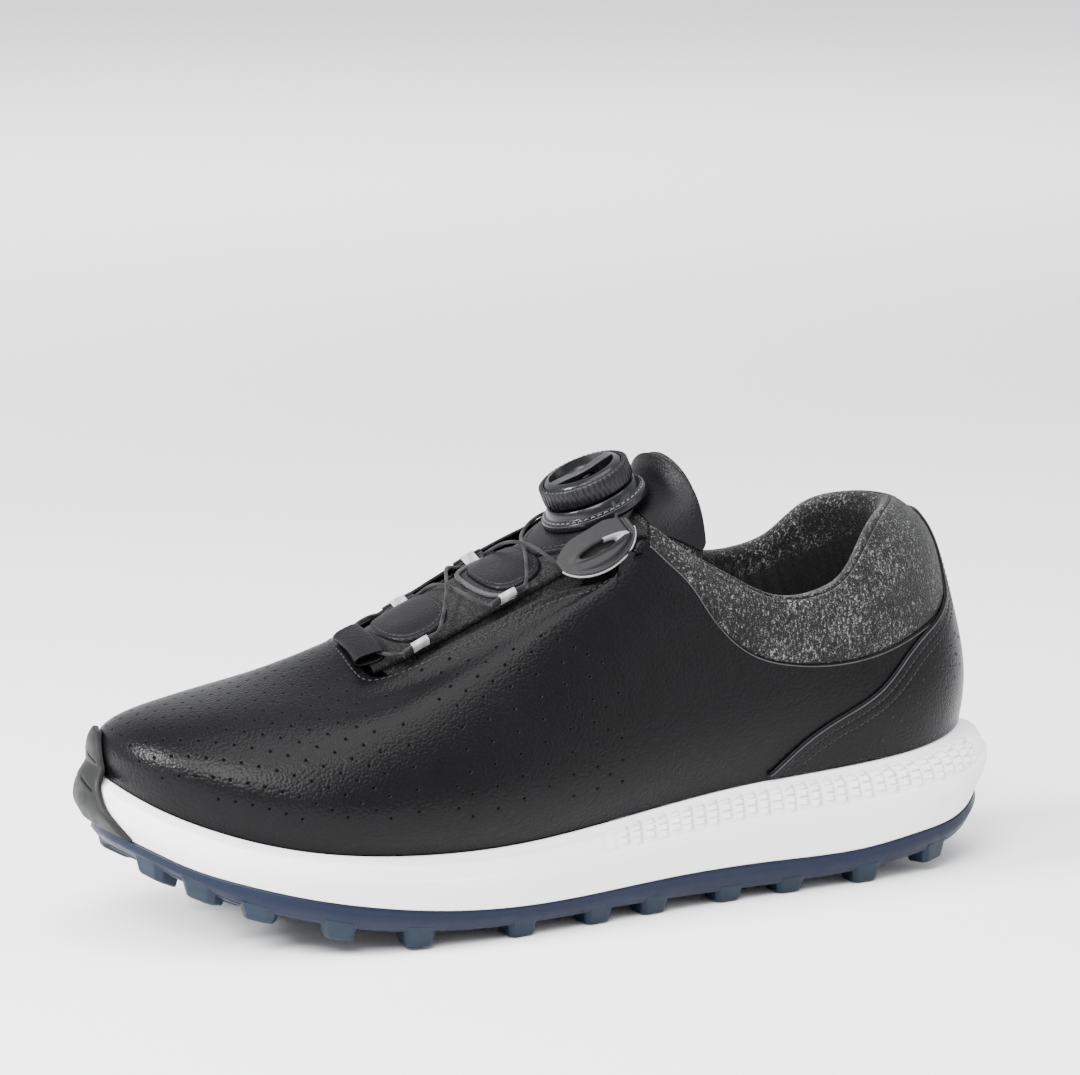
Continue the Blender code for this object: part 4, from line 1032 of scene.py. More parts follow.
def make_midsole():
    """The white foam: a lip round the upper, a ledge at mid-height and the stepped relief above it, with
    painted shade in the relief's recesses.
    """
    u = np.arange(SOLE_COLUMNS) / SOLE_COLUMNS
    feather, wide, edge = around(FEATHER, u), around(SIDEWALL, u), around(TREAD_EDGE, u)
    joint = profile(SOLE_JOINT, edge[:, 0])
    rise = feather[:, 2] - joint
    lip = offset_ring(feather, .8) - (0, 0, GAP)
    between = feather[:, :2] + .75 * (wide[:, :2] - feather[:, :2])
    rows = [lip, level(between, feather[:, 2] - .12 * rise), level(wide, joint + .6 * rise),
            level(wide, joint + .45 * rise), level(edge, joint + GAP)]
    knots, shares = [0, .2, .5, .64, 1], np.linspace(0, 1, 64)
    smooth = spline(knots, np.stack(rows), shares)
    straight = np.stack([np.stack([np.interp(shares, knots, [r[i, k] for r in rows]) for k in range(3)], -1)
                         for i in range(SOLE_COLUMNS)])
    grid = .6 * straight + .4 * np.transpose(smooth, (1, 0, 2))
    normals = normals_of(grid, True)
    if np.mean(normals[:, 30] * (grid[:, 30] - (0, 0, 30))) < 0:
        normals = -normals
    run = length_along(wide)[:, None]
    x = grid[..., 0]
    share = shares[None, :]
    ledge = ease(clamp((share - .485) / .03))
    forward = clamp((x + 90) / 70)
    relief = -.95 * (1 - ledge) * forward * clamp(share / .1)
    blocks, recess_shade_mask = brick_relief(run + 0 * share, share + 0 * run, x)
    relief += blocks
    hatch = np.sin((run * .9 + share * 22) * 2 * math.pi / 1.35)
    low = clamp((share - .60) / .06) * clamp((.94 - share) / .06)
    relief += .09 * hatch * low * clamp((x + 105) / 30)
    grid = grid + relief[..., None] * normals
    rim = offset_ring(lip, -1.6) - (0, 0, .9)
    crown = offset_ring(lip, -.45) + (0, 0, .25)
    inner = offset_ring(level(edge, joint + GAP), -6) + (0, 0, .4)
    grid = np.concatenate([rim[:, None], crown[:, None], grid, inner[:, None]], 1)
    midsole = sheet("midsole", grid, "foam", "shoe", "foam_white", closed=True, extra=("foam_shade",))
    # Faces in the relief's recesses take the darker foam: painted shade.
    shade = np.zeros((SOLE_COLUMNS, grid.shape[1] - 1))
    shade[:, 2:2 + recess_shade_mask.shape[1]] = recess_shade_mask
    paint(midsole, shade)


def sole_bottom(x, y, reach):
    """Relief of the outsole's underside: flex grooves, a raised rim and a shallow waist."""
    grooves = 0.0
    for place, bend in FLEX_GROOVES:
        grooves = grooves + .9 * np.exp(-((x - place - bend * (y + 2) ** 2 / 10) / 1.1) ** 2)
    waist = clamp(1 - np.abs(x - 24) / 34) * clamp(reach * 2.2 - .5)
    rim = -.7 * bell(reach, .10, .05)
    ribs = .25 * np.sin(x * 2 * math.pi / 3.2) * clamp(waist * 3)
    return grooves * clamp(reach * 8 - 1) + 1.6 * waist + rim + ribs


def make_outsole():
    """The blue rubber plate: side band, ribbed underside and the traction lugs."""
    count = 640
    edge = around(TREAD_EDGE, np.arange(count) / count)
    joint, bottom = profile(SOLE_JOINT, edge[:, 0]), profile(PLATE_BOTTOM, edge[:, 0])
    plate = offset_ring(level(edge, bottom), -2.5)
    plate[:, 2] = profile(PLATE_BOTTOM, plate[:, 0])
    top, middle = level(edge, joint), offset_ring(level(edge, (joint + bottom) / 2), .5)
    low = offset_ring(level(edge, bottom + .5), -.9)
    side = [offset_ring(top, -5) + (0, 0, .3), offset_ring(top, -.5) + (0, 0, .12), offset_ring(top, .15)]
    side += [top * (1 - share) + middle * share for share in (.25, .6, 1)]
    side += [middle * (1 - share) + low * share for share in (.35, .7, 1)]
    grid = np.stack([*side, plate], 1)
    points, faces = list(grid.reshape(-1, 3)), quads(count, grid.shape[1], True).tolist()

    def height(point, share):
        reach = min(share, 1 - share) * 2
        return profile(PLATE_BOTTOM, point[0:1])[0] + float(sole_bottom(point[0], point[1], reach))

    fill_across(points, faces, count, grid.shape[1], 40, height)
    piece("outsole", points, faces, "rubber", "shoe", "rubber_blue")
    make_lugs()


def ground_height(x):
    return float(np.interp(x, *zip(*GROUND_LINE)))


# Where the lugs stand along the sole: those at each edge and those across the middle.
EDGE_LUGS = (-127, -117, -104, -83, -58, -26, 0, 22, 46, 70, 97, 122)
MIDDLE_LUGS = (-104, -83, -58, -32, -8, 66, 88, 110)
FLEX_GROOVES = ((-112, .10), (-94, .06), (-75, .03), (-54, 0), (-33, -.03))


def lug_spots():
    """Place, turn and half size of each lug: a row along each edge and two across the middle."""
    rim = offset_ring(around(TREAD_EDGE, np.arange(240) / 240), -5.9)
    count = len(rim)
    spots = []
    for half in (range(1, count // 2), range(count // 2 + 1, count)):
        for x in EDGE_LUGS:
            i = min(half, key=lambda k: abs(rim[k][0] - x))
            ahead = rim[(i + 1) % count] - rim[i - 1]
            spots.append((rim[i][0], rim[i][1], math.atan2(ahead[1], ahead[0]), 5.2))
    for x in MIDDLE_LUGS:
        for y in (-15, 13):
            spots.append((x, y + (1 if x < 0 else 0), math.pi / 4, 4.2))
    return spots


def make_lugs():
    """Rounded blocks that stand on the ground line."""
    outline = [(-1, -.72), (-.72, -1), (.62, -1), (1, -.62), (1, .72), (.72, 1), (-.62, 1), (-1, .62)]
    levels = ((0, 1.12), (.25, 1.0), (.9, .84), (1, .74), (1, .30))
    points, faces = [], []
    for x, y, turn, half in lug_spots():
        low, high = ground_height(x), float(profile(PLATE_BOTTOM, x)) + 2.0
        slope = (ground_height(x + 4) - ground_height(x - 4)) / 8
        faces += ring_faces(len(levels), len(outline), len(points))
        for share, size in levels:
            for a, b in outline:
                a, b = a * half * size, b * half * size
                dx = a * math.cos(turn) - b * math.sin(turn)
                dy = a * math.sin(turn) + b * math.cos(turn)
                z = max(.02, high * (1 - share) + low * share + dx * slope)
                points.append((x + dx, y + dy, z))
    lugs = piece("traction_lugs", points, [face[::-1] for face in faces], "lug", "shoe", "rubber_blue",
                 ("outsole",))
    bevel(lugs, .55, 3, 28)


def bumper_profile(u_share):
    """Points up the toe bumper's inner face, from the bottom, at each share of its half-width."""
    centre = np.array([-60, 0])
    rows = []
    for k, half in enumerate(BUMPER_HALF):
        u = BUMPER_MIDDLE + half * u_share
        if k >= len(BUMPER_SOLE):
            rows.append(skin(u, BUMPER_TOP[k - len(BUMPER_SOLE)], -.7))
            continue
        feather, wide, edge = around(FEATHER, u), around(SIDEWALL, u), around(TREAD_EDGE, u)
        joint = profile(SOLE_JOINT, edge[:, 0])
        outline = (edge, wide, wide, feather[:, :2] + .8 * (wide - feather[:, :2]))[k]
        height = joint + BUMPER_SOLE[k] * (feather[:, 2] - joint)
        rows.append(np.column_stack([outline + .55 * unit(wide - centre), height]))
    return np.stack(rows, 1)


def make_bumper():
    """The rubber cap over the toe, with two slanted grooves on each side."""
    columns, rows = 190, 170
    across = np.linspace(-1, 1, columns)
    coarse = bumper_profile(across)
    run = np.linspace(0, 1, coarse.shape[1])
    up = np.linspace(0, 1, rows)
    grid = np.stack([np.stack([np.interp(up, run, column[:, k]) for k in range(3)], -1) for column in coarse])
    for _ in range(60):
        inner = (grid[:, :-2] + grid[:, 2:]) / 2
        grid[:, 1:-1] = .4 * grid[:, 1:-1] + .6 * inner
    normals = normals_of(grid)
    if np.mean(normals[:, rows // 2, 0]) > 0:
        normals = -normals
    across, up = across[:, None], up[None, :]
    relief = 1.6 + .3 * np.cos(across * math.pi / 2) + 0 * up
    for side in (-1, 1):
        for height in (.40, .68):
            lean = (up - height) + .10 * side * (across - side * .5)
            reach = clamp(1 - np.abs(across - side * .5) / .32)
            relief = relief - .9 * bell(lean, 0, .010) * clamp(reach * 4)
    border = np.minimum(np.minimum(up, 1 - up) * 44, (1 - np.abs(across)) * 18)
    round_off = round_over(border / 1.7)
    grid = grid + (relief * (.03 + .97 * round_off))[..., None] * normals
    sheet("toe_bumper", grid, "bumper", "shoe", "rubber_dark")


# The insole's rounded edge, as (inset, height over the board), and how deep it is dished.
INSOLE_EDGE = ((0, 2), (0, 4.6), (.4, 5.9), (1.6, 6.5))
INSOLE_DISH = 1.9


def make_insole():
    """The insole: dished foam with a cloth top."""
    ring = offset_ring(around(FEATHER, np.arange(160) / 160), -6.2)
    sections = [offset_ring(ring, -inset) + (0, 0, rise) for inset, rise in INSOLE_EDGE]
    points, faces = list(np.stack(sections, 1).reshape(-1, 3)), quads(len(ring), 4, True).tolist()
    fill_across(points, faces, len(ring), 4, 24,
                lambda point, share: point[2] - INSOLE_DISH * math.sin(math.pi * share) ** .8, flip=True)
    piece("insole", points, faces, "lining", "shoe", "insole_foam")


# ---- collar

# The collar: reach round the heel as a share of a turn, millimetres in a whole turn, and the angle
# of the sewn groove over its roll.
COLLAR_REACH = .243
COLLAR_ROUND = 690
COLLAR_GROOVE = .75


def make_collar():
    """The padded knit collar: crowned outer face, roll with a seam on top, and wrinkled inner face."""
    turns = np.linspace(-COLLAR_REACH, COLLAR_REACH, 320)
    outer, arch, inner = 30, 48, 34
    seam = seam_height(turns)
    high = np.maximum(seam + .02, .985)
    end = clamp(1 - np.abs(turns) / COLLAR_REACH)
    roll = 1.2 + 2.4 * np.minimum(1, end * 5)
    start = seam - .012
    share = np.linspace(0, 1, outer)
    v = start[:, None] + (high - start)[:, None] * share
    u = np.repeat(turns[:, None], outer, 1)
    crown = np.sin(math.pi * clamp(share)) ** .7
    tuck = clamp(1 - share / .10)
    depth = -.75 * crown[None, :] * np.minimum(1, end * 8)[:, None] + 2.1 * tuck[None, :] ** 1.5
    parts = [skin(u, v, depth)]
    side = upper_normal(turns, high)
    top = skin(turns, high)
    up = unit(top - skin(turns, high - .02))
    middle = top - roll[:, None] * side
    for k in range(1, arch + 1):
        angle = math.pi * k / (arch + 1)
        groove = .95 * bell(angle, COLLAR_GROOVE, .13)
        size = (roll - groove * np.minimum(1, end * 6))[:, None]
        parts.append((middle + size * (math.cos(angle) * side + math.sin(angle) * up))[:, None])
    back = np.linspace(0, 1, inner)
    v = high[:, None] - (high - start)[:, None] * back
    u = np.repeat(turns[:, None], inner, 1)
    thick = 2 * roll[:, None] * (1 - back) + np.minimum(4.6, 2 * roll[:, None]) * back
    swell = .6 * np.sin(math.pi * back)[None, :] * np.minimum(1, end * 6)[:, None]
    run = turns[:, None] * COLLAR_ROUND
    folds = np.sin(run * 2 * math.pi / 5.2 + 2.2 * np.sin(run / 9) + 2.5 * back)
    folds = np.sign(folds) * np.abs(folds) ** 1.4
    worn = clamp((back - .05) * 5) * bell(np.abs(u), .16, .05)
    parts.append(skin(u, v, thick + swell - .70 * folds * worn))
    grid = np.concatenate(parts, 1)
    grid = np.concatenate([grid, grid[:, :1]], 1)
    collar = sheet("collar", grid, "knit", "shoe", "knit_grey", extra=("lining",))
    dark = np.zeros((len(turns) - 1, grid.shape[1] - 1))
    seam_at = outer + int(round(COLLAR_GROOVE / math.pi * (arch + 1))) - 1
    dark[:, seam_at - 1:seam_at + 1] = 1
    dark[:, outer + arch + int(.42 * inner):] = 1
    paint(collar, dark)
    line = skin(turns, seam_height(turns) - .002, -.12)
    bar("collar_edge", line, .20, "edge", "shoe", "upper_leather")
    return collar


# ---- tongue

def firm_width(s):
    """Half-width of the tongue's firm part, as a share of its whole half-width."""
    return .84 + .14 * clamp((np.asarray(s) - .55) / .1)


def tongue_normals(s, t):
    """Unit normals of the tongue's outer face."""
    return unit(tongue_skin(s, t, -1) - tongue_skin(s, t, 0))


def forward_normals(grid):
    """Unit normals of a grid of points, turned to look forwards."""
    normals = normals_of(grid)
    return normals if normals[grid.shape[0] // 2, grid.shape[1] // 2, 0] < 0 else -normals


def make_tongue():
    """The felted tongue, its leather patches, piping and flap."""
    columns, rows = 200, 60
    s = np.linspace(0, .86, columns)
    t = np.linspace(-1, 1, rows)[None, :] * firm_width(s)[:, None]
    s = np.repeat(s[:, None], rows, 1)
    normals = tongue_normals(s, t)
    pillow = .35 * np.sin(s / .86 * math.pi * 5) ** 2 * clamp(1 - t**2)
    grid = tongue_skin(s, t, 0) + pillow[..., None] * normals
    grid = with_roll(grid, normals, 2.0, ends=(True, True))
    body = ("shoe", "tongue", in_frame((-61.5, 0, 80)), in_frame((-52, 0, 80)))
    sheet("tongue", grid, "felt", body, "mesh_black", flip=True, replaces=("tongue", "tongue_root"))
    make_tongue_top()
    make_patch("tongue_patch_lower", (.165, -.02), (.092, .70))
    make_patch("tongue_patch_upper", (.455, -.02), (.088, .70), piping=True)
    make_padding()


def end_places(first, last, columns, rows, narrowing, start, lateral, medial):
    """Places (s, t) over the tongue's upright end; its outer side reaches further down, to the collar."""
    s = np.repeat(np.linspace(first, last, columns)[:, None], rows, 1)
    across = np.linspace(-1, 1, rows)[None, :]
    narrow = 1 - narrowing * clamp((s - start) / .07) ** 2
    return s, across * np.where(across < 0, lateral, medial) * narrow, across


def make_tongue_top():
    """The upright end of the tongue: a thick knit pad behind a leather flap."""
    s, t, across = end_places(.80, 1.0, 90, 110, .08, .93, 1.13, 1.04)
    front, normals = tongue_skin(s, t, -.2), tongue_normals(s, t)
    full = round_over(np.minimum((1 - np.abs(across)) * 22, (1.0005 - s) * 110) / 1.8)
    half = 2.1 * (.35 + .65 * clamp((s - .80) / .06))
    outer, inner = (front - (half * (1 + sign * full))[..., None] * normals for sign in (-1, 1))
    slab("tongue_top", outer, inner, "knit", "tongue", "knit_grey", open_start=True,
                   replaces=("tongue",))
    s, t, across = end_places(.812, .992, 100, 120, .10, .925, 1.03, .94)
    grid = with_roll(tongue_skin(s, t, -1.35), tongue_normals(s, t), 1.15, tail=.2)
    grid = np.transpose(grid, (1, 0, 2))
    grid = with_roll(grid, forward_normals(grid), 1.1, tail=.2)
    sheet("tongue_flap", grid, "smooth_leather_painted_lighter", "tongue", "upper_leather")


def patch_places(centre, half, angle, share=1.0):
    """Places (s, t) on a round-cornered outline round a centre on the tongue."""
    c, s = squared(np.cos(angle), PATCH_CORNER), squared(np.sin(angle), PATCH_CORNER)
    return centre[0] + c * half[0] * share, centre[1] + s * half[1] * share


def make_patch(name, centre, half, piping=False):
    """A leather patch sewn to the tongue: crowned, with a turned edge and a row of stitches."""
    def height(share):
        edge = max(0.0, 1 - (max(share, .93) - .93) / .07)
        body = 1.15 + .55 * (1 - share**4) - .22 * bell(share, PATCH_SEAM, .02)
        return body * math.sqrt(edge * (2 - edge)) if share > .93 else body

    rings = np.concatenate([np.linspace(.001, .8, 22), np.linspace(.815, .92, 12), np.linspace(.93, 1, 9)])
    s, t = (np.stack(x, 1) for x in zip(*(patch_places(centre, half, turns_of(150), ring) for ring in rings)))
    grid = tongue_skin(s, t, -np.array([height(ring) for ring in rings]))
    sheet(name, grid, "smooth_leather_painted_lighter", "tongue", "upper_leather", closed=True)
    s, t = patch_places(centre, half, np.append(turns_of(240), 0), PATCH_SEAM)
    sewing(name + "_stitching", [(tongue_skin(s, t, -1.2), tongue_normals(s, t))], "thread", "tongue",
           "upper_leather", pitch=1.9, length=1.5, radius=.22)
    if piping:
        angle = np.linspace(.5 * math.pi, 1.5 * math.pi, 120)
        s, t = patch_places(centre, (half[0] + .026, half[1] + .13), angle)
        bar("tongue_piping", tongue_skin(s, t, -.75), .85, "edge", "tongue", "upper_leather", 10)


def make_padding():
    """The soft pad under the tongue, with its sewn channels."""
    s = np.repeat(np.linspace(.12, .72, 120)[:, None], 44, 1)
    across = np.linspace(-1, 1, 44)[None, :]
    t = across * .66
    round_off = np.sqrt(clamp(1 - across**8)) * np.sqrt(clamp(1 - ((s - .42) / .3) ** 10))
    upper = tongue_skin(s, t, 2.45 + .9 * (1 - round_off))
    channel = .35 * bell(across, 0, .05) + .3 * bell((s - .12) % .15, .075, .006)
    lower = tongue_skin(s, t, 3.3 + (1.9 - channel) * round_off)
    slab("tongue_padding", upper, lower, "lining", "tongue", "lining_black")


def make_gusset(name, side, first, last):
    """The folded web between the tongue's firm part and the underside of the upper."""
    share = np.linspace(0, 1, 90)
    start = first + .012 * side
    s, u = .02 + .63 * share, start + (last - start) * share
    edge = tongue_skin(s, side * (firm_width(s) - .02), 1.2)
    under, back = skin(u, 0 * u + .985, 6.0), skin(u, 0 * u + .93, 5.8)
    middle = (edge + under) / 2 - (0, 0, 1.0)
    across = np.linspace(0, 1, 26)
    grid = np.transpose(spline([0, .4, .75, 1], np.stack([edge, middle, under, back]), across), (1, 0, 2))
    grid[..., 2] += .35 * np.sin(share * 40)[:, None] * np.sin(across * math.pi)[None, :]
    y = (-25, -16.5) if side < 0 else (21, 13.5)
    sheet(name, grid, "felt", bend_between(*y), "mesh_black")


def bend_between(y_shoe, y_tongue):
    """Two bodies and two points along Y, recorded for a piece that spans the shoe and the tongue."""
    return "shoe", "tongue", in_frame((0, y_shoe, 0)), in_frame((0, y_tongue, 0))


# ---- dial

def dial_point(radius, angle, height):
    """Point in shape millimetres from polar coordinates on the dial's seat."""
    x, y = radius * np.cos(angle), radius * np.sin(angle)
    height = np.asarray(height) + 0 * x
    return np.stack([DIAL_SEAT[0] + x * math.cos(DIAL_TILT) - height * math.sin(DIAL_TILT),
                     DIAL_SEAT[1] + y,
                     DIAL_SEAT[2] + x * math.sin(DIAL_TILT) + height * math.cos(DIAL_TILT)], -1)


def face_outwards(mesh):
    """Join a mesh's doubled points and turn its faces to look outwards."""
    work = bmesh.new()
    work.from_mesh(mesh)
    bmesh.ops.remove_doubles(work, verts=work.verts, dist=1e-6)
    bmesh.ops.recalc_face_normals(work, faces=work.faces)
    work.to_mesh(mesh)
    work.free()


def turned(name, outline, finish, body, slot="plastic_black", steps=96, round_mm=.25, wave=None):
    """A turned piece from a closed outline of (radius, height); wave(angle, point) may move the radius."""
    angle, count = turns_of(steps), len(outline)
    columns = [dial_point(radius + (wave(angle, k) if wave else 0) + 0 * angle, angle, height)
               for k, (radius, height) in enumerate(outline)]
    faces = []
    for i in range(steps):
        a, b = i * count, (i + 1) % steps * count
        faces += [(a + k, b + k, b + (k + 1) % count, a + (k + 1) % count) for k in range(count)]
    thing = piece(name, np.stack(columns, 1).reshape(-1, 3), faces, finish, body, slot)
    face_outwards(thing.data)
    if round_mm:
        bevel(thing, round_mm, 3, 28)
    return thing


def cut(thing, cutter):
    """Take a closed cutter away from a piece."""
    change = thing.modifiers.new("cut", "BOOLEAN")
    change.operation, change.solver, change.object = "DIFFERENCE", "EXACT", cutter
    settle(thing)
    bpy.data.objects.remove(cutter)


def finger_recess(side):
    """Cutter for one of the two crescent recesses beside the bar across the knob."""
    reach, bar_half, steps = 10.5, 2.2, 22
    limit = math.acos(bar_half / reach)
    levels = ((10.5, .90), (11.4, .96), (16, 1.04))
    points = []
    for height, size in levels:
        for a in np.linspace(-limit, limit, steps):
            x = side * bar_half + side * (reach * math.cos(a) - bar_half) * size
            y = reach * math.sin(a) * size
            points.append(dial_point(math.hypot(x, y), math.atan2(y, x) + RECESS_TURN, height))
    mesh = bpy.data.meshes.new("cutter")
    mesh.from_pydata(in_frame(points).tolist(), [], ring_faces(len(levels), steps))
    face_outwards(mesh)
    return show("cutter", mesh)


def make_dial():
    """The dial: stitched housing, spool, knurled knob with its two finger recesses, spring and screw."""
    turned("dial_base", [(0.01, 1.5), (13.1, 1.5), (13.1, 5.2), (13.5, 5.7), (14.2, 5.6), (14.9, 4.4),
                         (15.1, 3.1), (16.9, 2.5), (17.1, 1.9), (17.1, .5), (16.8, .3), (0.01, .3)],
           "plastic", "tongue")
    turned("spool", [(3.2, 5.1), (12.6, 5.1), (12.6, 4.7), (8.4, 4.5), (8.4, 2.5), (12.6, 2.3), (12.6, 1.8),
                     (3.2, 1.8)], "matt_plastic", "spool")
    turned("drive_disc", [(4.8, 7.4), (11.9, 7.4), (11.9, 6.1), (4.8, 6.1)], "matt_plastic", "knob")
    turned("dial_stem", [(1.6, 9), (2.8, 9), (2.8, 1.9), (1.6, 1.9)], "matt_plastic", "knob_stem", steps=48)
    knob = turned("dial_knob", [(.01, 12.7), (3.3, 12.9), (7.0, 13.3), (10.4, 13.5), (11.4, 13.2),
                                (12.2, 12.6), (12.5, 12.2), (12.5, 5.9), (12.2, 5.8), (12.2, 9.6), (5, 9.6),
                                (4.4, 9.5), (3, 11.9), (.01, 11.9)], "plastic", "knob", steps=120, round_mm=0)
    for side in (-1, 1):
        cut(knob, finger_recess(side))
    bevel(knob, .28, 3, 30)
    turned("axle_screw", [(0.01, 11.6), (1.5, 11.6), (2.3, 11.4), (2.5, 10.9), (1.3, 10.7), (1.3, 3),
                          (0.01, 3)], "matt_plastic", "knob_stem", "steel", steps=48)

    def teeth(angle, k):
        return -.34 * (np.sin(angle * KNOB_TEETH * 2) > 0) if 2 <= k <= 5 else 0 * angle

    turned("grip_ring", [(12.65, 6.3), (12.65, 12.35), (13.4, 12.75), (KNOB_RADIUS, 12.1),
                         (KNOB_RADIUS + .05, 9), (KNOB_RADIUS - .1, 6.9), (13.8, 6.3)],
           "grip", "knob", "rubber_grip", steps=KNOB_TEETH * 16, round_mm=0, wave=teeth)
    angle = np.linspace(0, 2.5 * 2 * math.pi, 150)
    bar("release_spring", dial_point(3.8 + 0 * angle, angle, 5.8 + 2.8 * angle / angle[-1]), .33, "steel",
        "tongue", "steel")
    angle = np.linspace(0, 2 * math.pi, 400)
    line = dial_point(16.1 + 0 * angle, angle, 2.78)
    sewing("dial_stitching", [(line, DIAL_AXIS + 0 * line)], "pale_thread", "tongue", "plastic_black",
           pitch=2.1, length=1.6, radius=.26)


def make_dial_patch():
    """The leather seat of the dial, with its tip over the lace in front and a sewn border."""
    def places(angle, share):
        reach = .125 + .060 * clamp(-np.cos(angle)) ** 3
        return .715 + share * reach * np.cos(angle), .90 * share * np.sin(angle)

    gap, seam, housing, ease_width = .4, .90, 19.4, 3.2
    columns = []
    for share in np.linspace(.001, 1, 60):
        edge = max(0.0, 1 - (1 - share) / .035)
        thick = 1.5 * math.sqrt(max(0.0, 1 - edge**2)) + .55 * (1 - share) - .22 * bell(share, seam, .016)
        high = tongue_skin(*places(turns_of(200), share), -(gap + thick))
        # Under the housing the leather lies flat, square to the dial's axis.
        rise = (high - DIAL_SEAT) @ DIAL_AXIS
        flat = high - DIAL_AXIS * np.clip(rise, None, 9)[:, None]
        distance = np.linalg.norm(high - DIAL_SEAT - rise[:, None] * DIAL_AXIS, axis=1)
        level_share = ease(clamp((housing - distance) / ease_width))[:, None]
        columns.append(high * (1 - level_share) + flat * level_share)
    sheet("dial_patch", np.stack(columns, 1), "smooth_leather_painted_lighter", "tongue", "upper_leather", closed=True)
    s, t = places(np.linspace(.62 * math.pi, 1.38 * math.pi, 300), seam)
    sewing("dial_patch_stitching", [(tongue_skin(s, t, -(gap + 1.45)), tongue_normals(s, t))], "thread",
           "tongue", "upper_leather", pitch=2.0, length=1.6, radius=.24)


def make_wing(name):
    """A moulded leaf beside the dial: outer rim (painted pale grey on the lateral wing as a painted
    highlight), slot window painted near black as painted shade, with a thick pale edge, and its strap.
    """
    side, centre, down, half, depth, inner = WINGS[name]
    along, down, centre = unit(np.array(WING_SLOPE)), unit(np.array(down)), np.array(centre)
    normal = -side * unit(np.cross(down, along))
    a = np.linspace(-.999, .999, 180)[:, None] * half
    reach = depth * np.sqrt(1 - (a / half) ** 2)
    back = inner * (.15 + .85 * clamp(1.25 - (a / half) ** 2 * 1.25) ** .7)
    b = -back + (reach + back) * np.linspace(0, 1, 130)[None, :]
    a = a + 0 * b
    near = np.minimum(reach - b, (half - np.abs(a)) * .9)
    middle, length, breadth = .19 * depth, .46 * half, .145 * depth
    slot = (a / length) ** 2 + ((b - middle - .06 * a) / breadth) ** 2
    lip = bell(np.sqrt(slot), 1.38, .22) * np.clip(.25 + .75 * (a / half + .4), .1, 1)
    groove = bell(near, 1.9, .55) * clamp(a / half + .7)
    height = 2.1 + .9 * lip - .7 * groove + .4 * np.cos(a / half * math.pi / 2)
    height = height * (.1 + .9 * round_over(near / .8)) - 2.2 * clamp((1.15 - slot) / .35)
    grid = centre + a[..., None] * along + b[..., None] * down + height[..., None] * normal
    thing = sheet(name, grid, "matt_plastic", "tongue", "plastic_black", flip=side < 0,
                  extra=("hole", "grey_edge_and_rim_highlight"))

    def mid(values):
        return .25 * (values[1:, 1:] + values[:-1, 1:] + values[1:, :-1] + values[:-1, :-1])

    # The slot window is painted near black as painted shade; the pale band by it is the grey moulded edge.
    pale = (mid(slot) < 3.0) & (mid(a) > .20 * half) & (mid(b) < middle + .1 * depth)
    paint(thing, np.where(mid(slot) < .95, 1, np.where(pale, 2, 0)))
    angle = np.linspace(.05 * math.pi, .93 * math.pi, 140)[:, None]
    rim = centre + half * .985 * np.cos(angle) * along + depth * .975 * np.sin(angle) * down + 1.5 * normal
    # The lateral rim is painted pale grey as a painted highlight along its gloss edge; the medial rim stays
    # gloss black.
    bar(name + "_rim", rim, .42, "grey_edge_and_rim_highlight" if side < 0 else "plastic", "tongue", "plastic_black", 10)
    share = np.linspace(0, 1, 14)[None, :, None]
    sewn = centre + np.linspace(-.5, .5, 40)[:, None] * half * along - .7 * inner * down + .5 * normal
    s = np.linspace(.62, .70, 40) if side < 0 else np.linspace(.70, .76, 40)
    foot = tongue_skin(s, 0 * s + .72 * side, .4)
    strap = sewn[:, None] * (1 - share) + foot[:, None] * share
    sheet(name + "_strap", strap, "smooth_leather_painted_lighter", "tongue", "upper_leather")


# ---- lace and its guides

# Each loop's two ends and its side of the throat.
LACE_GUIDES = {
    "lace_guide_lateral_1": ((-51.6, -19.6, 81.9), (-41.2, -20.9, 87.2), -1),
    "lace_guide_lateral_2": ((-24.4, -22.1, 94.8), (-14.0, -22.9, 99.6), -1),
    "lace_guide_medial_1": ((-42.6, 15.4, 87.2), (-33.0, 15.6, 91.5), 1),
    "lace_guide_medial_2": ((-18.5, 16.8, 98.9), (-9.5, 17.3, 102.7), 1)}


def flat_loop(name, middle, side, top, powers, count, finish, slot, wall_mm, offset, edge):
    """A flattened tube of leather or webbing round a line of middles, open at both ends."""
    angle = np.append(turns_of(count), 0)
    c, s = squared(np.cos(angle), powers[0]), squared(np.sin(angle), powers[1])
    grid = middle[:, None] + side[:, None] * c[:, None] + top[:, None] * s[:, None]
    loop = sheet(name, grid, finish, "shoe", slot)
    wall = loop.modifiers.new("wall", "SOLIDIFY")
    wall.thickness, wall.offset = wall_mm * MM, offset
    settle(loop)
    bevel(loop, *edge)


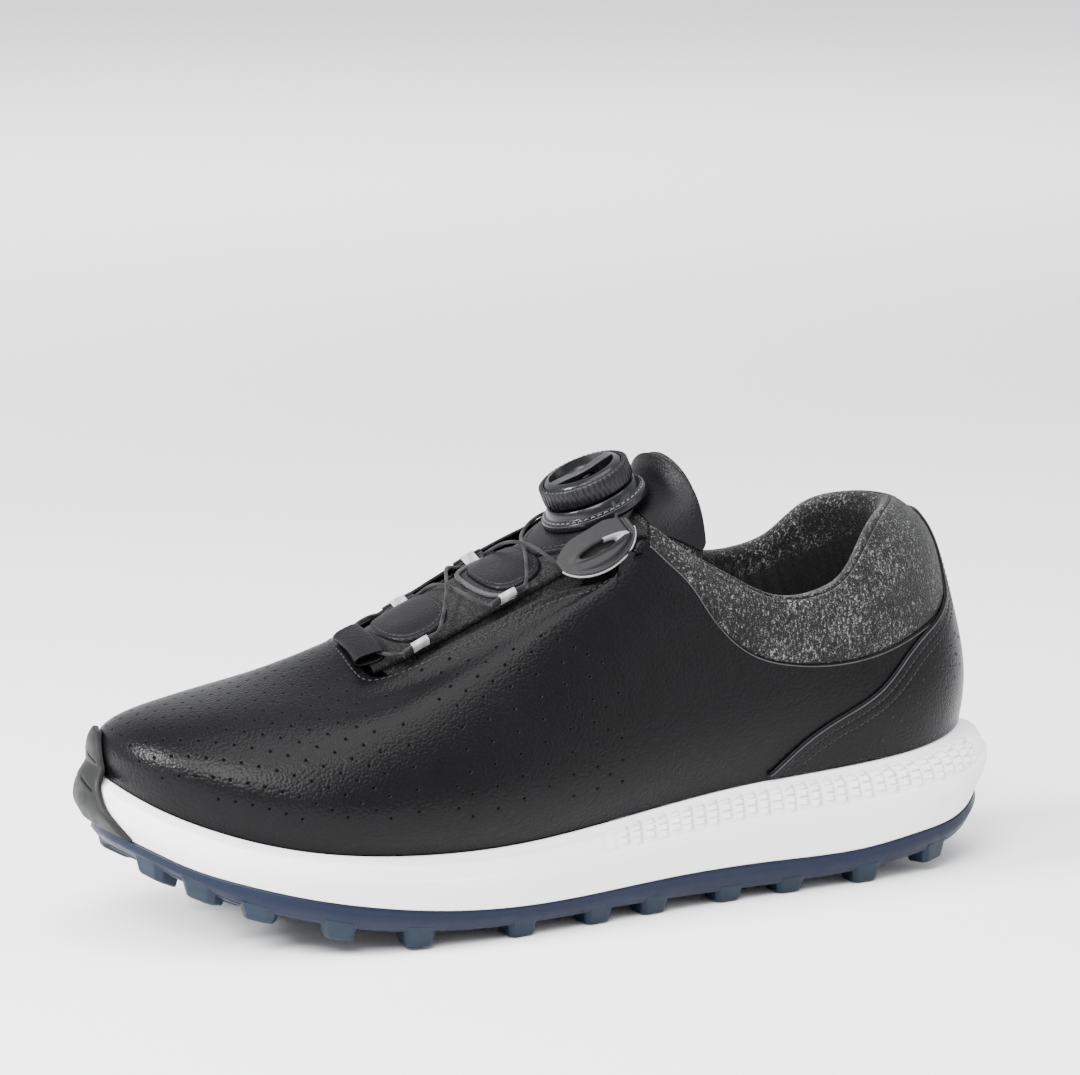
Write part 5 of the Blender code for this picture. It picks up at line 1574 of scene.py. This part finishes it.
def make_guides():
    """Webbing loops at the throat's edges: four cords side by side under a pale woven band."""
    for name, (start, end, side) in LACE_GUIDES.items():
        start, end = np.array(start), np.array(end)
        forward = unit(end - start)
        across = unit(np.cross((0, side * -.55, .84), forward))
        top = np.cross(forward, across)
        top = top if top[2] > 0 else -top
        share = np.linspace(0, 1, 16)[:, None]
        points, faces = [], []
        for shift in (-1.83, -.61, .61, 1.83):
            line = start + (end - start) * share + (.35 * np.sin(share * math.pi) - .25) * top
            line = line + (1 + .12 * np.abs(share - .5)) * shift * across
            new_points, new_faces = tube_parts(line, .60, 8)
            faces += [tuple(len(points) + i for i in face) for face in new_faces]
            points += new_points
        piece(name, points, faces, "webbing", "shoe", "webbing_black")
        share = np.linspace(-1, 1, 14)[:, None]
        middle = (start + end) / 2 + .235 * (end - start) * share + .12 * top
        flat_loop(name + "_band", middle, across * 2.75 * (1 - .06 * share**6), top * 1.05 + 0 * share,
                  (.45, .6), 28, "grey_webbing", "webbing_black", .35, -1, (.12, 2, 40))


def lace_line(first, last):
    """Points of the lace's route between two of its places."""
    route = np.array(LACE_ROUTE)
    # It runs lower under the lateral leaf and through the two medial loops.
    route[2:5] += (1.4, 4.2, -3.0)
    route[11:14, 2] -= 1.3
    route[26:29, 2] -= 1.3
    length = length_along(route)
    return spline(length, route, np.linspace(length[first], length[last], 14 * (last - first)))


def make_lace():
    """The lace cable, in runs: one rides on the shoe, the others span the shoe and the tongue and stay where
    they are.
    """
    runs = {
        "lace_upper_medial": (0, 12, bend_between(17, 13)),
        "lace_cross_low_medial": (12, 15, bend_between(17, 13)),
        "lace_cross_low_lateral": (15, 18, bend_between(-19.5, -15)),
        "lace_front": (18, 27, "shoe"),
        "lace_cross_high_medial": (27, 30, bend_between(15.5, 12)),
        "lace_cross_high_lateral": (30, 33, bend_between(-21.5, -16)),
        "lace_upper_lateral": (33, 47, bend_between(-21.5, -16))}
    for name, (first, last, body) in runs.items():
        bar(name, lace_line(first, last), LACE_RADIUS, "cable", body, "cable_dark", 10, replaces=("lace",))


def make_keeper():
    """The folded leather tab at the bottom of the throat, with the loop the lace runs through."""
    path = [(-60.6, 3.6, 84.9), (-60.3, -1, 84.3), (-60.1, -6, 83.4), (-60.0, -10.5, 82.0),
            (-60.2, -14.5, 80.2)]
    share = np.linspace(0, 1, 60)
    centre = spline(np.linspace(0, 1, 5), path, share)
    tangent = unit(np.gradient(centre, axis=0))
    along = unit(np.array([.93, 0, .36]))
    side = unit(along - (tangent @ along)[:, None] * tangent)
    top = np.cross(side, tangent)
    top = top * np.where(top[:, 2:] > 0, 1, -1)
    share = share[:, None]
    thick = 1.35 + .55 * clamp((share - .55) / .45)
    flat_loop("lace_keeper", centre, side * (4.0 + .35 * share), top * thick, (.7, .75), 48,
              "smooth_leather_painted_lighter", "upper_leather", .85, 0, (.25, 3, 40))


# ---- seams

def make_throat_stitching():
    """A row of stitches below the throat's top edge."""
    u = np.linspace(.262, .738, 900)
    line = upper_point(u, 0 * u + 1)
    lower = unit(np.cross(unit(np.gradient(line, axis=0)), upper_normal(u, 0 * u + 1)))
    down = np.einsum("ij,ij->i", lower, upper_point(u, 0 * u + .97) - line) > 0
    a, b = slide(u, 0 * u + 1.0, lower * np.where(down, 1, -1)[:, None] * 2.3)
    sewing("throat_stitching", [(skin(a, b, 0 * a + .05), upper_normal(a, b))], "thread", "shoe",
           "upper_leather", pitch=2.1, length=1.7, radius=.25)


# ---- remaining frame nodes

def dress_frame_nodes():
    """Give the CAD nodes that stay shown their finishes."""
    finishes = {"shank": "steel", "lasting_board": "board", "heel_counter": "board", "toe_puff": "board",
                "eyestay_lateral": "leather", "eyestay_medial": "leather"}
    for name, key in finishes.items():
        materials = frame["nodes"][name].data.materials
        materials.clear()
        materials.append(FINISHES[key])


# ---- studio

CAMERA_AZIMUTH = -24.4
CAMERA_ELEVATION = 12.3
CAMERA_DISTANCE = 1300
CAMERA_TARGET = (0, 0, 60)
# How far beside and above the target the camera aims.
AIM_RIGHT = 1.5
AIM_UP = 49.1
LENS = 142.0


def make_camera():
    """The camera, at an angle and distance from a point on the shoe."""
    turn, lift = math.radians(CAMERA_AZIMUTH), math.radians(CAMERA_ELEVATION)
    back = np.array([math.sin(turn) * math.cos(lift), -math.cos(turn) * math.cos(lift), math.sin(lift)])
    right = unit(np.cross((0, 0, 1), back))
    up = np.cross(back, right)
    target = np.array(CAMERA_TARGET, float)
    place = target + CAMERA_DISTANCE * back
    aim = target + AIM_RIGHT * right + AIM_UP * up
    data = bpy.data.cameras.new("camera")
    data.lens = LENS
    data.sensor_width = 36
    data.clip_start, data.clip_end = .01, 50
    camera = show("camera", data)
    camera.location = in_frame(place)
    camera.rotation_euler = Vector(aim - place).to_track_quat("-Z", "Y").to_euler()
    bpy.context.scene.camera = camera


def area_light(name, place, aim, size, power):
    """A soft rectangular light that looks at a point."""
    data = bpy.data.lights.new(name, "AREA")
    data.shape = "RECTANGLE"
    data.size, data.size_y = size
    data.energy = power
    light = show(name, data)
    light.location = place
    light.rotation_euler = (Vector(aim) - Vector(place)).to_track_quat("-Z", "Y").to_euler()


def make_studio():
    """A plain pale floor, a bright surround and soft lights."""
    world = bpy.data.worlds.new("studio")
    world.use_nodes = True
    surround = world.node_tree.nodes["Background"].inputs
    surround["Color"].default_value = (.96, .97, 1, 1)
    surround["Strength"].default_value = 1.3
    bpy.context.scene.world = world
    mesh = bpy.data.meshes.new("floor")
    mesh.from_pydata([(-6, -6, 0), (6, -6, 0), (6, 6, 0), (-6, 6, 0)], [], [(0, 1, 2, 3)])
    floor = show("floor", mesh)
    floor.location.z = -.0002
    mesh.materials.append(Finish("pale floor").end((.93, .93, .935), .9))
    area_light("key light", (-.9, -.9, 1.3), (-.05, 0, .05), (1.0, .9), 50)
    area_light("toe light", (-1.5, .05, .95), (-.12, 0, .05), (.42, .42), 66)
    area_light("top light", (.1, -.35, 1.6), (0, 0, .05), (1.2, 1.2), 26)
    area_light("fill light", (1.3, -1.0, .6), (0, 0, .06), (.9, .9), 5)
    area_light("floor light", (0, 1.9, 1.7), (0, 4.6, 0), (4, 1.2), 130)


# ---- build

for old in list(bpy.data.objects):
    bpy.data.objects.remove(old, do_unlink=True)
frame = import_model()
FINISHES = make_finishes()
make_camera()
make_studio()
make_upper()
make_heel_overlay()
make_lining()
make_midsole()
make_outsole()
make_bumper()
make_insole()
make_collar()
make_tongue()
make_gusset("gusset_lateral", -1, .383, .294)
make_gusset("gusset_medial", 1, .625, .728)
make_dial_patch()
make_dial()
for wing in WINGS:
    make_wing(wing)
make_guides()
make_keeper()
make_lace()
make_throat_stitching()
dress_frame_nodes()
for thing, body in RIDES:
    if isinstance(body, str):
        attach(thing, body)
    else:
        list(body)
        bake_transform(thing)
